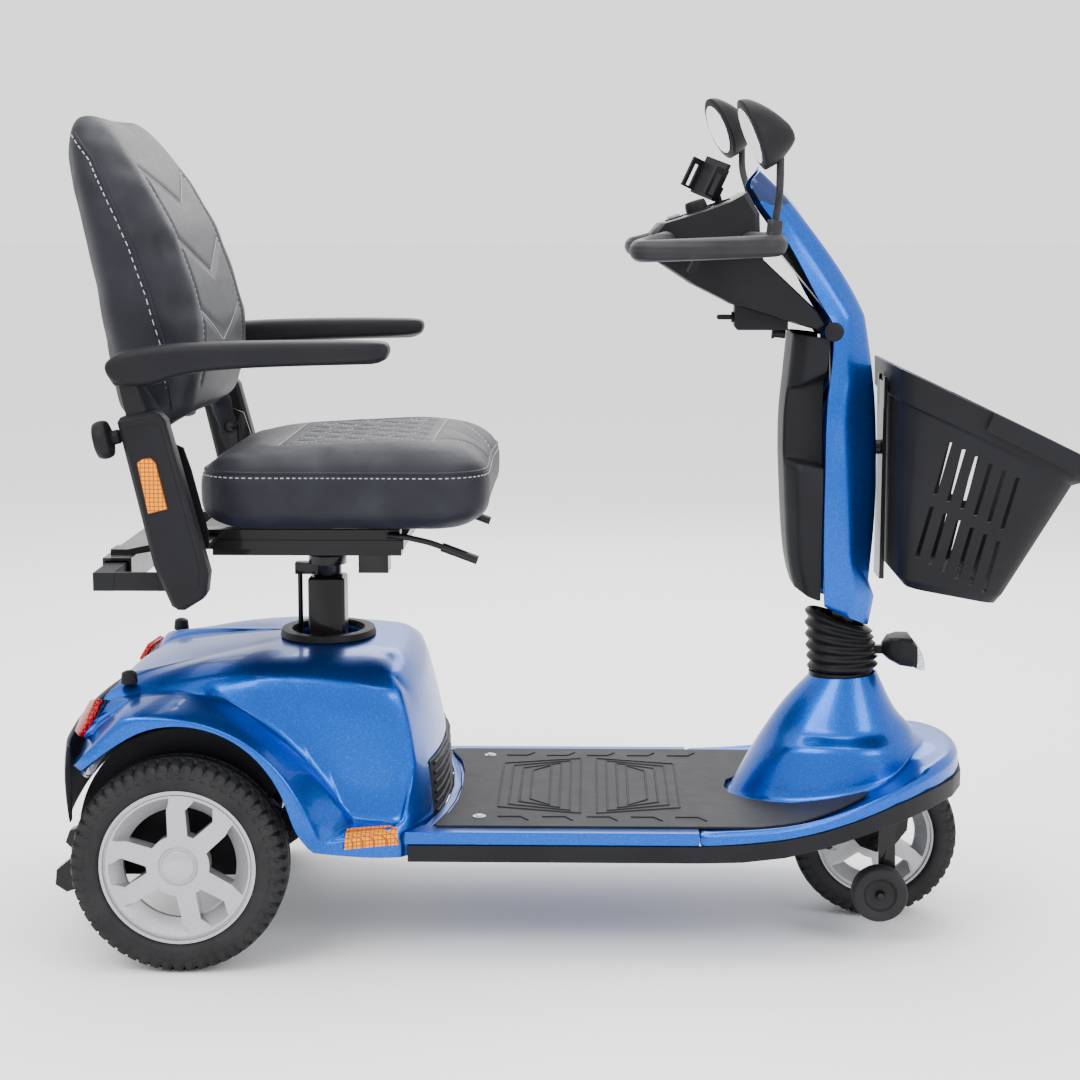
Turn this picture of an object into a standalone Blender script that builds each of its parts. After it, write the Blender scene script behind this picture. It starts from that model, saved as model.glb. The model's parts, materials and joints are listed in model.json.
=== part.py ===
"""Three-wheeled mobility scooter with a captain's seat, a tilting tiller and a clip-on basket.

Metres, +Z up, +X towards the front, the floor at Z = 0.  Every outline is written from the
tiller datum, an upright line that stands DATUM_X ahead of the object's own origin, so that
the finished scooter is centred over the origin.
"""
import math

import bmesh
import bpy
from mathutils import Matrix, Vector

# ---- driving dimensions ----------------------------------------------------------------
DATUM_X = 0.2751
GAP = 0.0004

REAR_AXLE = Vector((-0.771, 0.0, 0.138))
REAR_WHEEL_R = 0.138
REAR_RIM_R = 0.100
REAR_WHEEL_Y = 0.254
FRONT_AXLE = Vector((0.1405, 0.0, 0.1124))
FRONT_WHEEL_R = 0.1124
FRONT_RIM_R = 0.080
TYRE_HALF = 0.039
FRONT_TYRE_HALF = 0.040
WHEEL_SEGMENTS = 28

STABILISER = Vector((0.131, 0.160, 0.073))

RAKE = math.radians(10.0)
STEER_AXIS = Vector((-math.sin(RAKE), 0.0, math.cos(RAKE)))
HEAD_TOP = Vector((0.0966, 0.0, 0.330))
TILT_PIVOT = Vector((0.093, 0.0, 0.372))

DECK_HALF = 0.237
DECK_TOP = 0.173
MAT_HALF = 0.212
SEAM_FRONT_X = -0.109
SEAM_REAR_X = -0.490
NOSE_X = 0.254
SHELL = 0.003

ARCH = Vector((-0.765, 0.0, 0.155))
ARCH_R = [(5.0, 0.1460), (20.0, 0.1480), (30.0, 0.1520), (42.0, 0.1570), (55.0, 0.1635),
          (70.0, 0.1690), (90.0, 0.1710), (110.0, 0.1690), (139.0, 0.1650)]
FENDER_Y = 0.2945

POST_X = -0.608
SLIDE_TOP = 0.5535
FOLD_PIVOT = Vector((-0.772, 0.0, 0.649))
ARM_PIVOT = Vector((-0.818, 0.0, 0.765))
ARM_Y = 0.290
ARM_LEAN = math.radians(12.3)

BLUE = (0.010, 0.150, 0.600)
BLACK = (0.020, 0.020, 0.024)
RUBBER = (0.016, 0.016, 0.017)
LEATHER = (0.040, 0.040, 0.046)
SILVER = (0.620, 0.620, 0.640)
STEEL = (0.300, 0.300, 0.310)


# ---- scene and materials ---------------------------------------------------------------
def clear_scene():
    for old in list(bpy.data.objects):
        bpy.data.objects.remove(old, do_unlink=True)


def material(name, colour, roughness, metallic=0.0):
    made = bpy.data.materials.get(name)
    if made is None:
        made = bpy.data.materials.new(name)
        made.use_nodes = True
        shader = made.node_tree.nodes["Principled BSDF"]
        shader.inputs["Base Color"].default_value = (*colour, 1.0)
        shader.inputs["Roughness"].default_value = roughness
        shader.inputs["Metallic"].default_value = metallic
    return made


def blue_paint():
    return material("blue_paint", BLUE, 0.22, 0.45)


def black_plastic():
    return material("black_plastic", BLACK, 0.55)


def black_metal():
    return material("black_metal", BLACK, 0.38, 0.3)


def tyre_rubber():
    return material("tyre_rubber", RUBBER, 0.8)


def leather():
    return material("leather", LEATHER, 0.5)


def silver_paint():
    return material("silver_paint", SILVER, 0.35, 0.6)


def steel():
    return material("steel", STEEL, 0.4, 0.9)


# ---- helpers: scratch objects, modifiers, finished nodes ---------------------------------
def scratch(bm):
    mesh = bpy.data.meshes.new("scratch")
    bm.to_mesh(mesh)
    bm.free()
    obj = bpy.data.objects.new("scratch", mesh)
    bpy.context.scene.collection.objects.link(obj)
    return obj


def discard(obj):
    mesh = obj.data
    bpy.data.objects.remove(obj, do_unlink=True)
    bpy.data.meshes.remove(mesh)


def evaluated(obj):
    """The bmesh that an object's modifiers make; the object itself goes away."""
    graph = bpy.context.evaluated_depsgraph_get()
    mesh = bpy.data.meshes.new_from_object(obj.evaluated_get(graph))
    made = bmesh.new()
    made.from_mesh(mesh)
    bpy.data.meshes.remove(mesh)
    discard(obj)
    return made


def boolean(operation, body, tools):
    """Join the tools to a body, or cut them from it, one after another."""
    for tool in tools:
        base = scratch(body)
        other = scratch(tool)
        step = base.modifiers.new("step", "BOOLEAN")
        step.operation = operation
        step.solver = "EXACT"
        step.object = other
        body = evaluated(base)
        discard(other)
    return body


def union(body, *tools):
    return boolean("UNION", body, tools)


def cut(body, *tools):
    return boolean("DIFFERENCE", body, tools)


def thicken(sheet, thickness):
    """Give an open sheet, whose faces point out, a wall on its inner side."""
    base = scratch(sheet)
    wall = base.modifiers.new("wall", "SOLIDIFY")
    wall.thickness = thickness
    wall.offset = -1.0
    return evaluated(base)


def chamfer(bm, width, degrees=40.0):
    """Bevel every edge sharper than the given angle."""
    edges = [e for e in bm.edges if len(e.link_faces) == 2
             and e.calc_face_angle(0.0) > math.radians(degrees)]
    bmesh.ops.bevel(bm, geom=edges, offset=width, segments=1, affect="EDGES", clamp_overlap=True)
    return bm


def add_node(name, bm, mat, pivot=Vector(), smooth=32.0):
    """Make a named object from a bmesh in datum coordinates, its origin on the pivot."""
    bmesh.ops.remove_doubles(bm, verts=bm.verts, dist=1e-6)
    bmesh.ops.recalc_face_normals(bm, faces=bm.faces)
    bmesh.ops.translate(bm, verts=bm.verts, vec=-Vector(pivot))
    mesh = bpy.data.meshes.new(name)
    bm.to_mesh(mesh)
    bm.free()
    mesh.shade_smooth()
    mesh.set_sharp_from_angle(angle=math.radians(smooth))
    mesh.materials.clear()
    mesh.materials.append(mat)
    obj = bpy.data.objects.new(name, mesh)
    obj.location = Vector(pivot) + Vector((DATUM_X, 0.0, 0.0))
    bpy.context.scene.collection.objects.link(obj)
    return obj


# ---- helpers: shapes ---------------------------------------------------------------------
def curve(points, x):
    """Read a smooth line through (x, value) points, flat beyond its ends."""
    if x <= points[0][0]:
        return points[0][1]
    for (x0, v0), (x1, v1) in zip(points, points[1:]):
        if x <= x1:
            return v0 + (v1 - v0) * (x - x0) / (x1 - x0)
    return points[-1][1]


def loft(rings, closed=False):
    """Skin rings of equal length; the ends get caps, or the last ring joins the first."""
    bm = bmesh.new()
    rows = [[bm.verts.new(p) for p in ring] for ring in rings]
    count = len(rows[0])
    pairs = list(zip(rows, rows[1:]))
    if closed:
        pairs.append((rows[-1], rows[0]))
    for low, high in pairs:
        for i in range(count):
            j = (i + 1) % count
            bm.faces.new((low[i], low[j], high[j], high[i]))
    if not closed:
        bm.faces.new(list(reversed(rows[0])))
        bm.faces.new(rows[-1])
    bmesh.ops.recalc_face_normals(bm, faces=bm.faces)
    return bm


def sheet(rows, wrap=True):
    """An open surface from rows of points, its faces turned to point up on the whole."""
    bm = bmesh.new()
    grid = [[bm.verts.new(p) for p in row] for row in rows]
    count = len(grid[0])
    for low, high in zip(grid, grid[1:]):
        for i in range(count if wrap else count - 1):
            j = (i + 1) % count
            bm.faces.new((low[i], low[j], high[j], high[i]))
    return bm


def face_out(bm, inside):
    """Turn a sheet's faces away from an inside point."""
    bmesh.ops.recalc_face_normals(bm, faces=bm.faces)
    bm.normal_update()
    score = sum(f.normal.dot(f.calc_center_median() - inside) * f.calc_area() for f in bm.faces)
    if score < 0.0:
        bmesh.ops.reverse_faces(bm, faces=bm.faces)
    return bm


def prism_y(outline, y0, y1):
    """An X-Z outline stretched from y0 to y1."""
    return loft([[Vector((x, y, z)) for x, z in outline] for y in (y0, y1)])


def prism_z(outline, z0, z1):
    """An X-Y outline stretched from z0 to z1."""
    return loft([[Vector((x, y, z)) for x, y in outline] for z in (z0, z1)])


def box(x0, x1, y0, y1, z0, z1):
    return prism_z([(x0, y0), (x1, y0), (x1, y1), (x0, y1)], z0, z1)


def mirrored_box(side, x0, x1, y0, y1, z0, z1):
    low, high = sorted((side * y0, side * y1))
    return box(x0, x1, low, high, z0, z1)


def side_vectors(axis):
    axis = Vector(axis).normalized()
    reference = Vector((0, 1, 0)) if abs(axis.z) > 0.7 else Vector((0, 0, 1))
    across = axis.cross(reference).normalized()
    return axis, across, axis.cross(across)


def circle(centre, axis, radius, count, phase=0.0):
    axis, across, up = side_vectors(axis)
    turn = 2.0 * math.pi / count
    return [Vector(centre) + radius * (math.cos(i * turn + phase) * across
                                       + math.sin(i * turn + phase) * up) for i in range(count)]


def rod(start, end, radius, count=12, end_radius=None):
    axis = Vector(end) - Vector(start)
    last = radius if end_radius is None else end_radius
    return loft([circle(start, axis, radius, count), circle(end, axis, last, count)])


def turned(profile, centre, axis, count, closed=True):
    """Turn (radius, height) points round an axis: a ring, or a solid with flat ends."""
    axis = Vector(axis).normalized()
    return loft([circle(Vector(centre) + axis * h, axis, r, count) for r, h in profile],
                closed=closed)


def swept(path, radius, count=10):
    """A round bar along a path of points, its ends flat."""
    path = [Vector(p) for p in path]
    rings = []
    previous = None
    for i, point in enumerate(path):
        before = path[max(i - 1, 0)]
        after = path[min(i + 1, len(path) - 1)]
        axis = (after - before).normalized()
        if previous is None:
            across = side_vectors(axis)[1]
        else:
            across = (previous - axis * previous.dot(axis)).normalized()
        previous = across
        up = axis.cross(across)
        turn = 2.0 * math.pi / count
        rings.append([point + radius * (math.cos(k * turn) * across + math.sin(k * turn) * up)
                      for k in range(count)])
    return loft(rings)


def rounded_corners(points, radius, steps=3):
    """A path whose inner corners are replaced by arcs."""
    points = [Vector(p) for p in points]
    out = [points[0]]
    for a, b, c in zip(points, points[1:], points[2:]):
        reach = min(radius, 0.45 * (a - b).length, 0.45 * (c - b).length)
        start = b + (a - b).normalized() * reach
        end = b + (c - b).normalized() * reach
        for k in range(steps + 1):
            t = k / steps
            out.append(start * (1 - t) ** 2 + b * 2 * t * (1 - t) + end * t ** 2)
    out.append(points[-1])
    return out


def rounded_rect(x0, x1, y0, y1, radius, steps=3):
    """A rounded rectangle as (x, y) points."""
    radius = min(radius, 0.49 * (x1 - x0), 0.49 * (y1 - y0))
    corners = ((x1 - radius, y0 + radius, -90), (x1 - radius, y1 - radius, 0),
               (x0 + radius, y1 - radius, 90), (x0 + radius, y0 + radius, 180))
    out = []
    for cx, cy, start in corners:
        for k in range(steps + 1):
            angle = math.radians(start + 90.0 * k / steps)
            out.append((cx + radius * math.cos(angle), cy + radius * math.sin(angle)))
    return out


def flat_ring(points, z):
    return [Vector((x, y, z)) for x, y in points]


def at_y(v, y):
    return Vector((v.x, y, v.z))


def sides():
    return (("right", -1.0), ("left", 1.0))


# ---- wheels --------------------------------------------------------------------------------
def tyre(name, axle, y, radius, bead, half):
    """A tyre turned round its axle, with a rounded tread and a flat bore."""
    wall = radius - bead
    profile = [(bead + GAP, -0.80 * half), (bead + 0.30 * wall, -0.97 * half),
               (bead + 0.62 * wall, -half), (bead + 0.90 * wall, -0.82 * half),
               (radius, -0.45 * half), (radius, 0.45 * half),
               (bead + 0.90 * wall, 0.82 * half), (bead + 0.62 * wall, half),
               (bead + 0.30 * wall, 0.97 * half), (bead + GAP, 0.80 * half)]
    body = turned(profile, at_y(axle, y), (0, 1, 0), WHEEL_SEGMENTS)
    return add_node(name, body, tyre_rubber(), at_y(axle, y))


def rim(name, axle, y, radius, half, outward, bore, shaft=None):
    """A dished wheel with six arms; wide and narrow windows take turns between them."""
    lip = 0.80 * half
    profile = [(bore, 0.62 * half), (0.24 * radius, 0.62 * half), (0.30 * radius, 0.42 * half),
               (0.72 * radius, 0.34 * half), (0.92 * radius, 0.60 * half),
               (0.955 * radius, lip), (radius, lip), (radius, -lip),
               (0.94 * radius, -lip), (0.92 * radius, 0.25 * half), (0.70 * radius, 0.10 * half),
               (0.30 * radius, 0.10 * half), (0.27 * radius, -0.80 * half), (bore, -0.80 * half)]
    axis = Vector((0, outward, 0))
    centre = at_y(axle, y)
    body = turned(profile, centre, axis, WHEEL_SEGMENTS)
    windows = []
    for k in range(6):
        wide = k % 2 == 1
        middle = math.radians(67.0 + 60.0 * k)
        spread = math.radians(20.0 if wide else 15.0)
        inner = radius * (0.36 if wide else 0.42)
        outer = radius * (0.76 if wide else 0.70)
        corners = [(inner, middle - 0.8 * spread), (outer, middle - spread),
                   (outer * 1.03, middle), (outer, middle + spread), (inner, middle + 0.8 * spread)]
        outline = [(centre.x + r * math.cos(a), centre.z + r * math.sin(a)) for r, a in corners]
        windows.append(prism_y(outline, y - half, y + half))
    body = cut(body, *windows)
    if shaft is not None:
        body = union(body, shaft)
    return add_node(name, body, silver_paint(), centre)


def caster(name, centre, radius, half, bore):
    """A small solid wheel with a sunk face round its bolt hole."""
    profile = [(bore, -0.6 * half), (0.55 * radius, -0.6 * half), (0.62 * radius, -half),
               (0.93 * radius, -half), (radius, -0.7 * half), (radius, 0.7 * half),
               (0.93 * radius, half), (0.62 * radius, half), (0.55 * radius, 0.6 * half),
               (bore, 0.6 * half)]
    return add_node(name, turned(profile, centre, (0, 1, 0), 16), tyre_rubber(), centre)


def build_wheels():
    for name, side in sides():
        y = side * REAR_WHEEL_Y
        tyre("rear_tyre_" + name, REAR_AXLE, y, REAR_WHEEL_R, REAR_RIM_R, TYRE_HALF)
        shaft = rod(at_y(REAR_AXLE, side * 0.060), at_y(REAR_AXLE, side * 0.2800), 0.009)
        rim("rear_rim_" + name, REAR_AXLE, y, REAR_RIM_R, TYRE_HALF, side, 0.005, shaft)
    tyre("front_tyre", FRONT_AXLE, 0.0, FRONT_WHEEL_R, FRONT_RIM_R, FRONT_TYRE_HALF)
    rim("front_rim", FRONT_AXLE, 0.0, FRONT_RIM_R, FRONT_TYRE_HALF, -1.0, 0.0068)


# ---- frame, drive and batteries --------------------------------------------------------------
def head_point(z):
    """The point of the steering axis at a given height."""
    return HEAD_TOP + STEER_AXIS * ((z - HEAD_TOP.z) / STEER_AXIS.z)


def stabiliser_arm(side):
    """A drop plate under the outrigger, with the stub its small wheel turns on."""
    outline = [(0.131, 0.1600), (0.152, 0.1600), (0.154, 0.085), (0.146, 0.062), (0.121, 0.062),
               (0.118, 0.085), (0.131, 0.105)]
    plate = prism_y(outline, *sorted((side * 0.1385, side * 0.1435)))
    stub = rod(at_y(STABILISER, side * 0.1400), at_y(STABILISER, side * 0.1765), 0.0045, 10)
    return [plate, stub]


def build_main_frame():
    rail = [(-0.02, 0.138), (-0.655, 0.138), (-0.700, 0.182), (-0.905, 0.182), (-0.905, 0.206),
            (-0.708, 0.206), (-0.663, 0.162), (-0.02, 0.162)]
    outrigger = [(-0.034, 0.141), (0.050, 0.141), (0.098, 0.158), (0.153, 0.158),
                 (0.153, 0.174), (0.092, 0.174), (0.045, 0.159), (-0.034, 0.159)]
    neck = [(-0.030, 0.1405), (0.004, 0.1405), (0.012, 0.190), (0.052, 0.248), (0.105, 0.252),
            (0.098, 0.312), (0.056, 0.303), (-0.026, 0.172)]
    body = box(-0.045, -0.015, -0.156, 0.156, 0.140, 0.160)
    parts = [prism_y(neck, -0.028, 0.028)]
    for side in (-1.0, 1.0):
        parts.append(prism_y(rail, *sorted((side * 0.085, side * 0.111))))
        parts.append(prism_y(outrigger, *sorted((side * 0.138, side * 0.155))))
        parts += stabiliser_arm(side)
    parts.append(box(-0.665, -0.545, -0.100, 0.100, 0.1395, 0.1605))
    parts.append(box(-0.905, -0.885, -0.150, 0.150, 0.184, 0.204))
    parts.append(rod(head_point(0.249), head_point(0.322), 0.025, 16))
    body = union(body, *parts)
    bore = rod(head_point(0.235), head_point(0.335), 0.0172, 16)
    return add_node("main_frame", cut(body, bore), black_metal())


def build_drive():
    axis = (0, 1, 0)
    tube = rod(at_y(REAR_AXLE, -0.205), at_y(REAR_AXLE, 0.205), 0.019, 12)
    gearbox = turned([(0.030, -0.052), (0.052, -0.040), (0.052, 0.040), (0.030, 0.052)],
                     REAR_AXLE, axis, 14, closed=False)
    motor = rod(REAR_AXLE + Vector((0.02, 0.0, -0.006)), REAR_AXLE + Vector((0.098, 0.0, -0.006)),
                0.037, 14)
    brackets = [mirrored_box(side, -0.785, -0.757, 0.090, 0.104, 0.140, 0.1815)
                for side in (-1.0, 1.0)]
    body = union(tube, gearbox, motor, *brackets)
    bores = [rod(at_y(REAR_AXLE, side * 0.0585), at_y(REAR_AXLE, side * 0.210), 0.0095)
             for side in (-1.0, 1.0)]
    add_node("transaxle", cut(body, *bores), steel(), REAR_AXLE)
    block = box(-0.864, -0.668, -0.140, 0.140, 0.2065, 0.338)
    add_node("battery_pack", chamfer(block, 0.004), material("battery", BLACK, 0.4))
    case = mirrored_box(1.0, -0.565, -0.475, -0.070, 0.070, 0.1625, 0.215)
    add_node("controller", chamfer(case, 0.004), material("controller", STEEL, 0.5, 0.5))


def build_fork():
    """Stem, crown and two leg plates, with ears at the top for the tiller's pin."""
    crown = head_point(0.2335)
    leg = [(0.078, 0.236), (0.096, 0.170), (0.098, 0.128), (0.118, 0.105), (0.140, 0.097),
           (0.163, 0.105), (0.181, 0.128), (0.183, 0.150), (0.150, 0.236)]
    body = box(0.078, 0.150, -0.0565, 0.0565, 0.2300, 0.2395)
    parts = [prism_y(leg, *sorted((side * 0.0470, side * 0.0525))) for side in (-1.0, 1.0)]
    parts.append(rod(at_y(FRONT_AXLE, -0.0600), at_y(FRONT_AXLE, 0.0600), 0.0060))
    parts.append(rod(crown, head_point(0.3500), 0.0168, 14))
    parts.append(rod(head_point(0.3225), head_point(0.3300), 0.0270, 14))
    parts.append(box(0.079, 0.107, -0.0255, 0.0255, 0.3420, 0.3500))
    for side in (-1.0, 1.0):
        parts.append(mirrored_box(side, 0.0795, 0.1110, 0.0190, 0.0252, 0.3440, 0.3860))
    body = union(body, *parts)
    pin_hole = rod(at_y(TILT_PIVOT, -0.04), at_y(TILT_PIVOT, 0.04), 0.0046)
    add_node("front_fork", cut(body, pin_hole), black_metal(), head_point(0.2335))


# ---- deck --------------------------------------------------------------------------------------
def deck_half_width(x):
    """Half the width of the deck: straight at the back, rounded to the nose."""
    start = -0.03
    if x <= start:
        return DECK_HALF
    t = min((x - start) / (NOSE_X - start), 1.0)
    return DECK_HALF * max(0.0, 1.0 - t ** 2.2) ** (1.0 / 2.2)


def body_front_x(y):
    """Where the rear body's front wall stands at deck level."""
    return -0.441 - 0.025 * (y / 0.2) ** 2


def deck_outline(front, half, gap, reach, corner_x):
    """A deck sheet's outline, hollowed at the back round the body's front wall."""
    ys = (-reach, -0.14, -0.08, 0.0, 0.08, 0.14, reach)
    back = [(body_front_x(y) + gap, y) for y in ys]
    return [(front, -half), (front, half), (corner_x, half)] + back[::-1] + [(corner_x, -half)]


def build_deck():
    front = SEAM_FRONT_X - GAP
    outer = prism_z(deck_outline(front, DECK_HALF, 0.0035, 0.199, -0.487), 0.1565, DECK_TOP)
    recess = prism_z(deck_outline(front + 0.02, 0.2130, 0.0140, 0.205, -0.453), 0.1708, 0.180)
    hollow = box(-0.500, front + 0.02, -0.232, 0.232, 0.150, 0.1665)
    add_node("deck_pan", cut(outer, recess, hollow), blue_paint())


WING_RISE = [(-0.030, 0.0), (0.020, 0.0035), (0.065, 0.0125), (0.105, 0.0230), (0.160, 0.0430),
             (0.184, 0.0640), (0.200, 0.0740), (0.254, 0.0740)]
FLOOR_Z = 0.1698


def build_mat():
    """The rubber mat, hollowed round both shrouds, its two wings rising at the front."""
    half = [(-0.425, 0.0), (-0.427, 0.08), (-0.434, 0.14), (-0.447, 0.185), (-0.4515, 0.206),
            (-0.445, MAT_HALF), (-0.035, MAT_HALF), (0.000, 0.206), (0.040, 0.192),
            (0.080, 0.170), (0.108, 0.147), (0.118, 0.134), (0.110, 0.124), (0.080, 0.121),
            (0.040, 0.110), (0.000, 0.094), (-0.036, 0.069), (-0.060, 0.035), (-0.065, 0.0)]
    loop = [(x, -y) for x, y in half] + [(x, y) for x, y in half[-2:0:-1]]
    body = prism_z(loop, 0.1722, 0.1754)
    for x, _ in WING_RISE[:4]:
        geometry = body.verts[:] + body.edges[:] + body.faces[:]
        bmesh.ops.bisect_plane(body, geom=geometry, plane_co=(x, 0, 0), plane_no=(1, 0, 0))
    for vertex in body.verts:
        vertex.co.z += curve(WING_RISE, vertex.co.x)
    add_node("floor_mat", body, material("mat_rubber", RUBBER, 0.85))


RIM_TOP = [(-0.109, 0.1730), (-0.030, 0.1760), (0.030, 0.1830), (0.090, 0.2010), (0.150, 0.2220),
           (0.200, 0.2360), (0.254, 0.2400)]
RIM_LOW = [(-0.109, 0.1560), (-0.030, 0.1600), (0.030, 0.1690), (0.090, 0.1840), (0.150, 0.2020),
           (0.200, 0.2130), (0.254, 0.2170)]
SKIRT_LOW = [(-0.109, 0.1340), (-0.030, 0.1360), (0.030, 0.1470), (0.090, 0.1630),
             (0.150, 0.1770), (0.200, 0.1880), (0.254, 0.1920)]


NOSE_STATIONS = (-0.055, 0.0, 0.050, 0.100, 0.150, 0.195, 0.230, 0.248)


def rim_stations():
    """Half of the front shroud's outer edge, from the seam's middle round to the nose."""
    straight = [(SEAM_FRONT_X, 0.0), (SEAM_FRONT_X, 0.10), (SEAM_FRONT_X, 0.213),
                (SEAM_FRONT_X, DECK_HALF)]
    curved = [(x, deck_half_width(x)) for x in NOSE_STATIONS]
    return straight + curved + [(NOSE_X, 0.0)]


def cone_stations(count):
    """Half of the cone's base, an egg that is pointed at the toe and blunt at the nose."""
    egg = [(-0.062, 0.0), (-0.055, 0.030), (-0.038, 0.056), (-0.012, 0.078), (0.012, 0.090),
           (0.036, 0.099), (0.066, 0.108), (0.100, 0.112), (0.134, 0.108), (0.162, 0.092),
           (0.184, 0.064), (0.196, 0.034), (0.202, 0.0)]
    return egg[:count]


def blend(a, b, t):
    return (a[0] + (b[0] - a[0]) * t, a[1] + (b[1] - a[1]) * t)


def at_seam(x, y):
    """The seam under the mat, where the shroud has no raised rim."""
    return y < 0.22 and x < -0.05


def rim_height(x, y, drop):
    return FLOOR_Z + 0.1 * drop if at_seam(x, y) else curve(RIM_TOP, x) + drop


def front_shroud_rows():
    """Rings from the cone's top out to the rim's lower edge; each is half a loop of points."""
    edge = rim_stations()
    base = cone_stations(len(edge))
    count = len(edge)
    angles = [math.pi * (1.0 - k / (count - 1)) for k in range(count)]
    neck = [(0.096 + 0.046 * math.cos(a), 0.046 * math.sin(a)) for a in angles]
    rows = [[Vector((x, y, 0.336 + 0.06 * (x - 0.096))) for x, y in neck]]
    ground = [FLOOR_Z + curve(WING_RISE, b[0]) for b in base]
    bulge = [0.0, 0.10, 0.35, 0.65, 0.90, 1.0, 1.0, 1.0, 1.0, 0.95, 0.85, 0.75, 0.70]
    levels = ((0.30, 0.0, 0.300, 0.048), (0.52, 0.0, 0.264, 0.036),
              (0.66, 0.20, 0.236, 0.022), (0.84, 0.12, 0.202, 0.008))
    for reach, swell, height, above in levels:
        rows.append([Vector((*blend(n, b, reach + swell * g),
                             max(height + (0.014 * g if swell else 0.0), z + above)))
                     for n, b, g, z in zip(neck, base, bulge, ground)])
    inner = [blend(b, e, 0.86) for b, e in zip(base, edge)]
    crest = [blend(b, e, 0.95) for b, e in zip(base, edge)]
    rows.append([Vector((x, y, FLOOR_Z + curve(WING_RISE, x))) for x, y in base])
    rows.append([Vector((x, y, FLOOR_Z + curve(WING_RISE, x))) for x, y in inner])
    rows.append([Vector((x, y, rim_height(x, y, 0.0))) for x, y in crest])
    rows.append([Vector((x, y, rim_height(x, y, -0.0050))) for x, y in edge])
    rows.append([Vector((x, y, 0.1640 if at_seam(x, y) else curve(RIM_LOW, x) + GAP))
                 for x, y in edge])
    return rows


def full_loop(half):
    """Mirror half a loop, whose two ends lie on the centre plane."""
    other = [Vector((p.x, -p.y, p.z)) for p in half[-2:0:-1]]
    return list(half) + other


def build_front_shroud():
    surface = sheet([full_loop(row) for row in front_shroud_rows()])
    face_out(surface, Vector((0.09, 0.0, 0.0)))
    add_node("front_shroud", thicken(surface, SHELL), blue_paint())


def build_skirt():
    """The black bumper strip, from one rear seam round the nose to the other."""
    half = [(x, deck_half_width(x)) for x in (SEAM_REAR_X + 0.007, SEAM_FRONT_X) + NOSE_STATIONS]
    loop = [(x, -y) for x, y in half] + [(NOSE_X, 0.0)] + half[::-1]
    rings = []
    for x, y in loop:
        low = curve(SKIRT_LOW, x)
        high = curve(RIM_LOW, x) - 0.0006
        away = Vector((x - 0.02 if x > -0.05 else 0.0, y, 0.0)).normalized()
        outer = Vector((x, y, 0.0)) + away * 0.002
        inner = Vector((x, y, 0.0)) - away * 0.007
        rings.append([Vector((outer.x, outer.y, low)), Vector((outer.x, outer.y, high)),
                      Vector((inner.x, inner.y, high)), Vector((inner.x, inner.y, low))])
    add_node("deck_skirt", loft(rings), black_plastic())


# ---- rear body -----------------------------------------------------------------------------------
TOP_LINE = [(-0.930, 0.262), (-0.912, 0.300), (-0.884, 0.338), (-0.842, 0.365), (-0.785, 0.380),
            (-0.720, 0.387), (-0.620, 0.389), (-0.550, 0.383), (-0.490, 0.371)]
SHOULDER_LINE = [(-0.890, 0.330), (-0.845, 0.346), (-0.789, 0.352), (-0.737, 0.363),
                 (-0.673, 0.370), (-0.602, 0.367), (-0.524, 0.354), (-0.488, 0.346)]


def arch_point(degrees, radius, y):
    angle = math.radians(degrees)
    return Vector((ARCH.x + radius * math.cos(angle), y, ARCH.z + radius * math.sin(angle)))


def side_column(degrees, shoulder_x, ridge_r, crease_r):
    """One rib of the side, from the top over the shoulder and the fender to the arch's lip."""
    top_z = curve(TOP_LINE, shoulder_x)
    edge_z = curve(SHOULDER_LINE, shoulder_x)
    crease = arch_point(degrees, crease_r, 0.243)
    foot = Vector((crease.x + 0.35 * (shoulder_x - crease.x), 0.214,
                   min(crease.z + 0.006, edge_z - 0.004)))
    return [Vector((shoulder_x, 0.145, top_z - 0.003)), Vector((shoulder_x, 0.184, edge_z + 0.008)),
            Vector((shoulder_x, 0.201, edge_z - 0.006)), foot, crease,
            arch_point(degrees, ridge_r, 0.281), arch_point(degrees, ridge_r - 0.006, FENDER_Y),
            arch_point(degrees, curve(ARCH_R, degrees), FENDER_Y)]


def front_column(y, top_x):
    """One rib of the front wall, from the top down to the deck."""
    lean = [(-0.034, 0.360), (-0.026, 0.330), (-0.015, 0.288), (-0.007, 0.245), (-0.002, 0.212),
            (0.0, 0.180), (0.0, 0.137)]
    return [Vector((top_x, y * 0.9, 0.3815))] + [Vector((body_front_x(y) + dx, y, z))
                                                for dx, z in lean]


def rear_column(y, top_x, corner):
    """One rib of the back wall."""
    z_drop = corner * 0.010
    bow = -0.018 * (y / 0.2) ** 2
    xs = [top_x, -0.884, -0.904, -0.916, -0.922, -0.925, -0.925, -0.922]
    zs = [curve(TOP_LINE, top_x), 0.338, 0.310, 0.286, 0.266, 0.250, 0.235, 0.215]
    return [Vector((x - bow if k else x, y, z - (z_drop if k < 3 else 0.0)))
            for k, (x, z) in enumerate(zip(xs, zs))]


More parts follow.
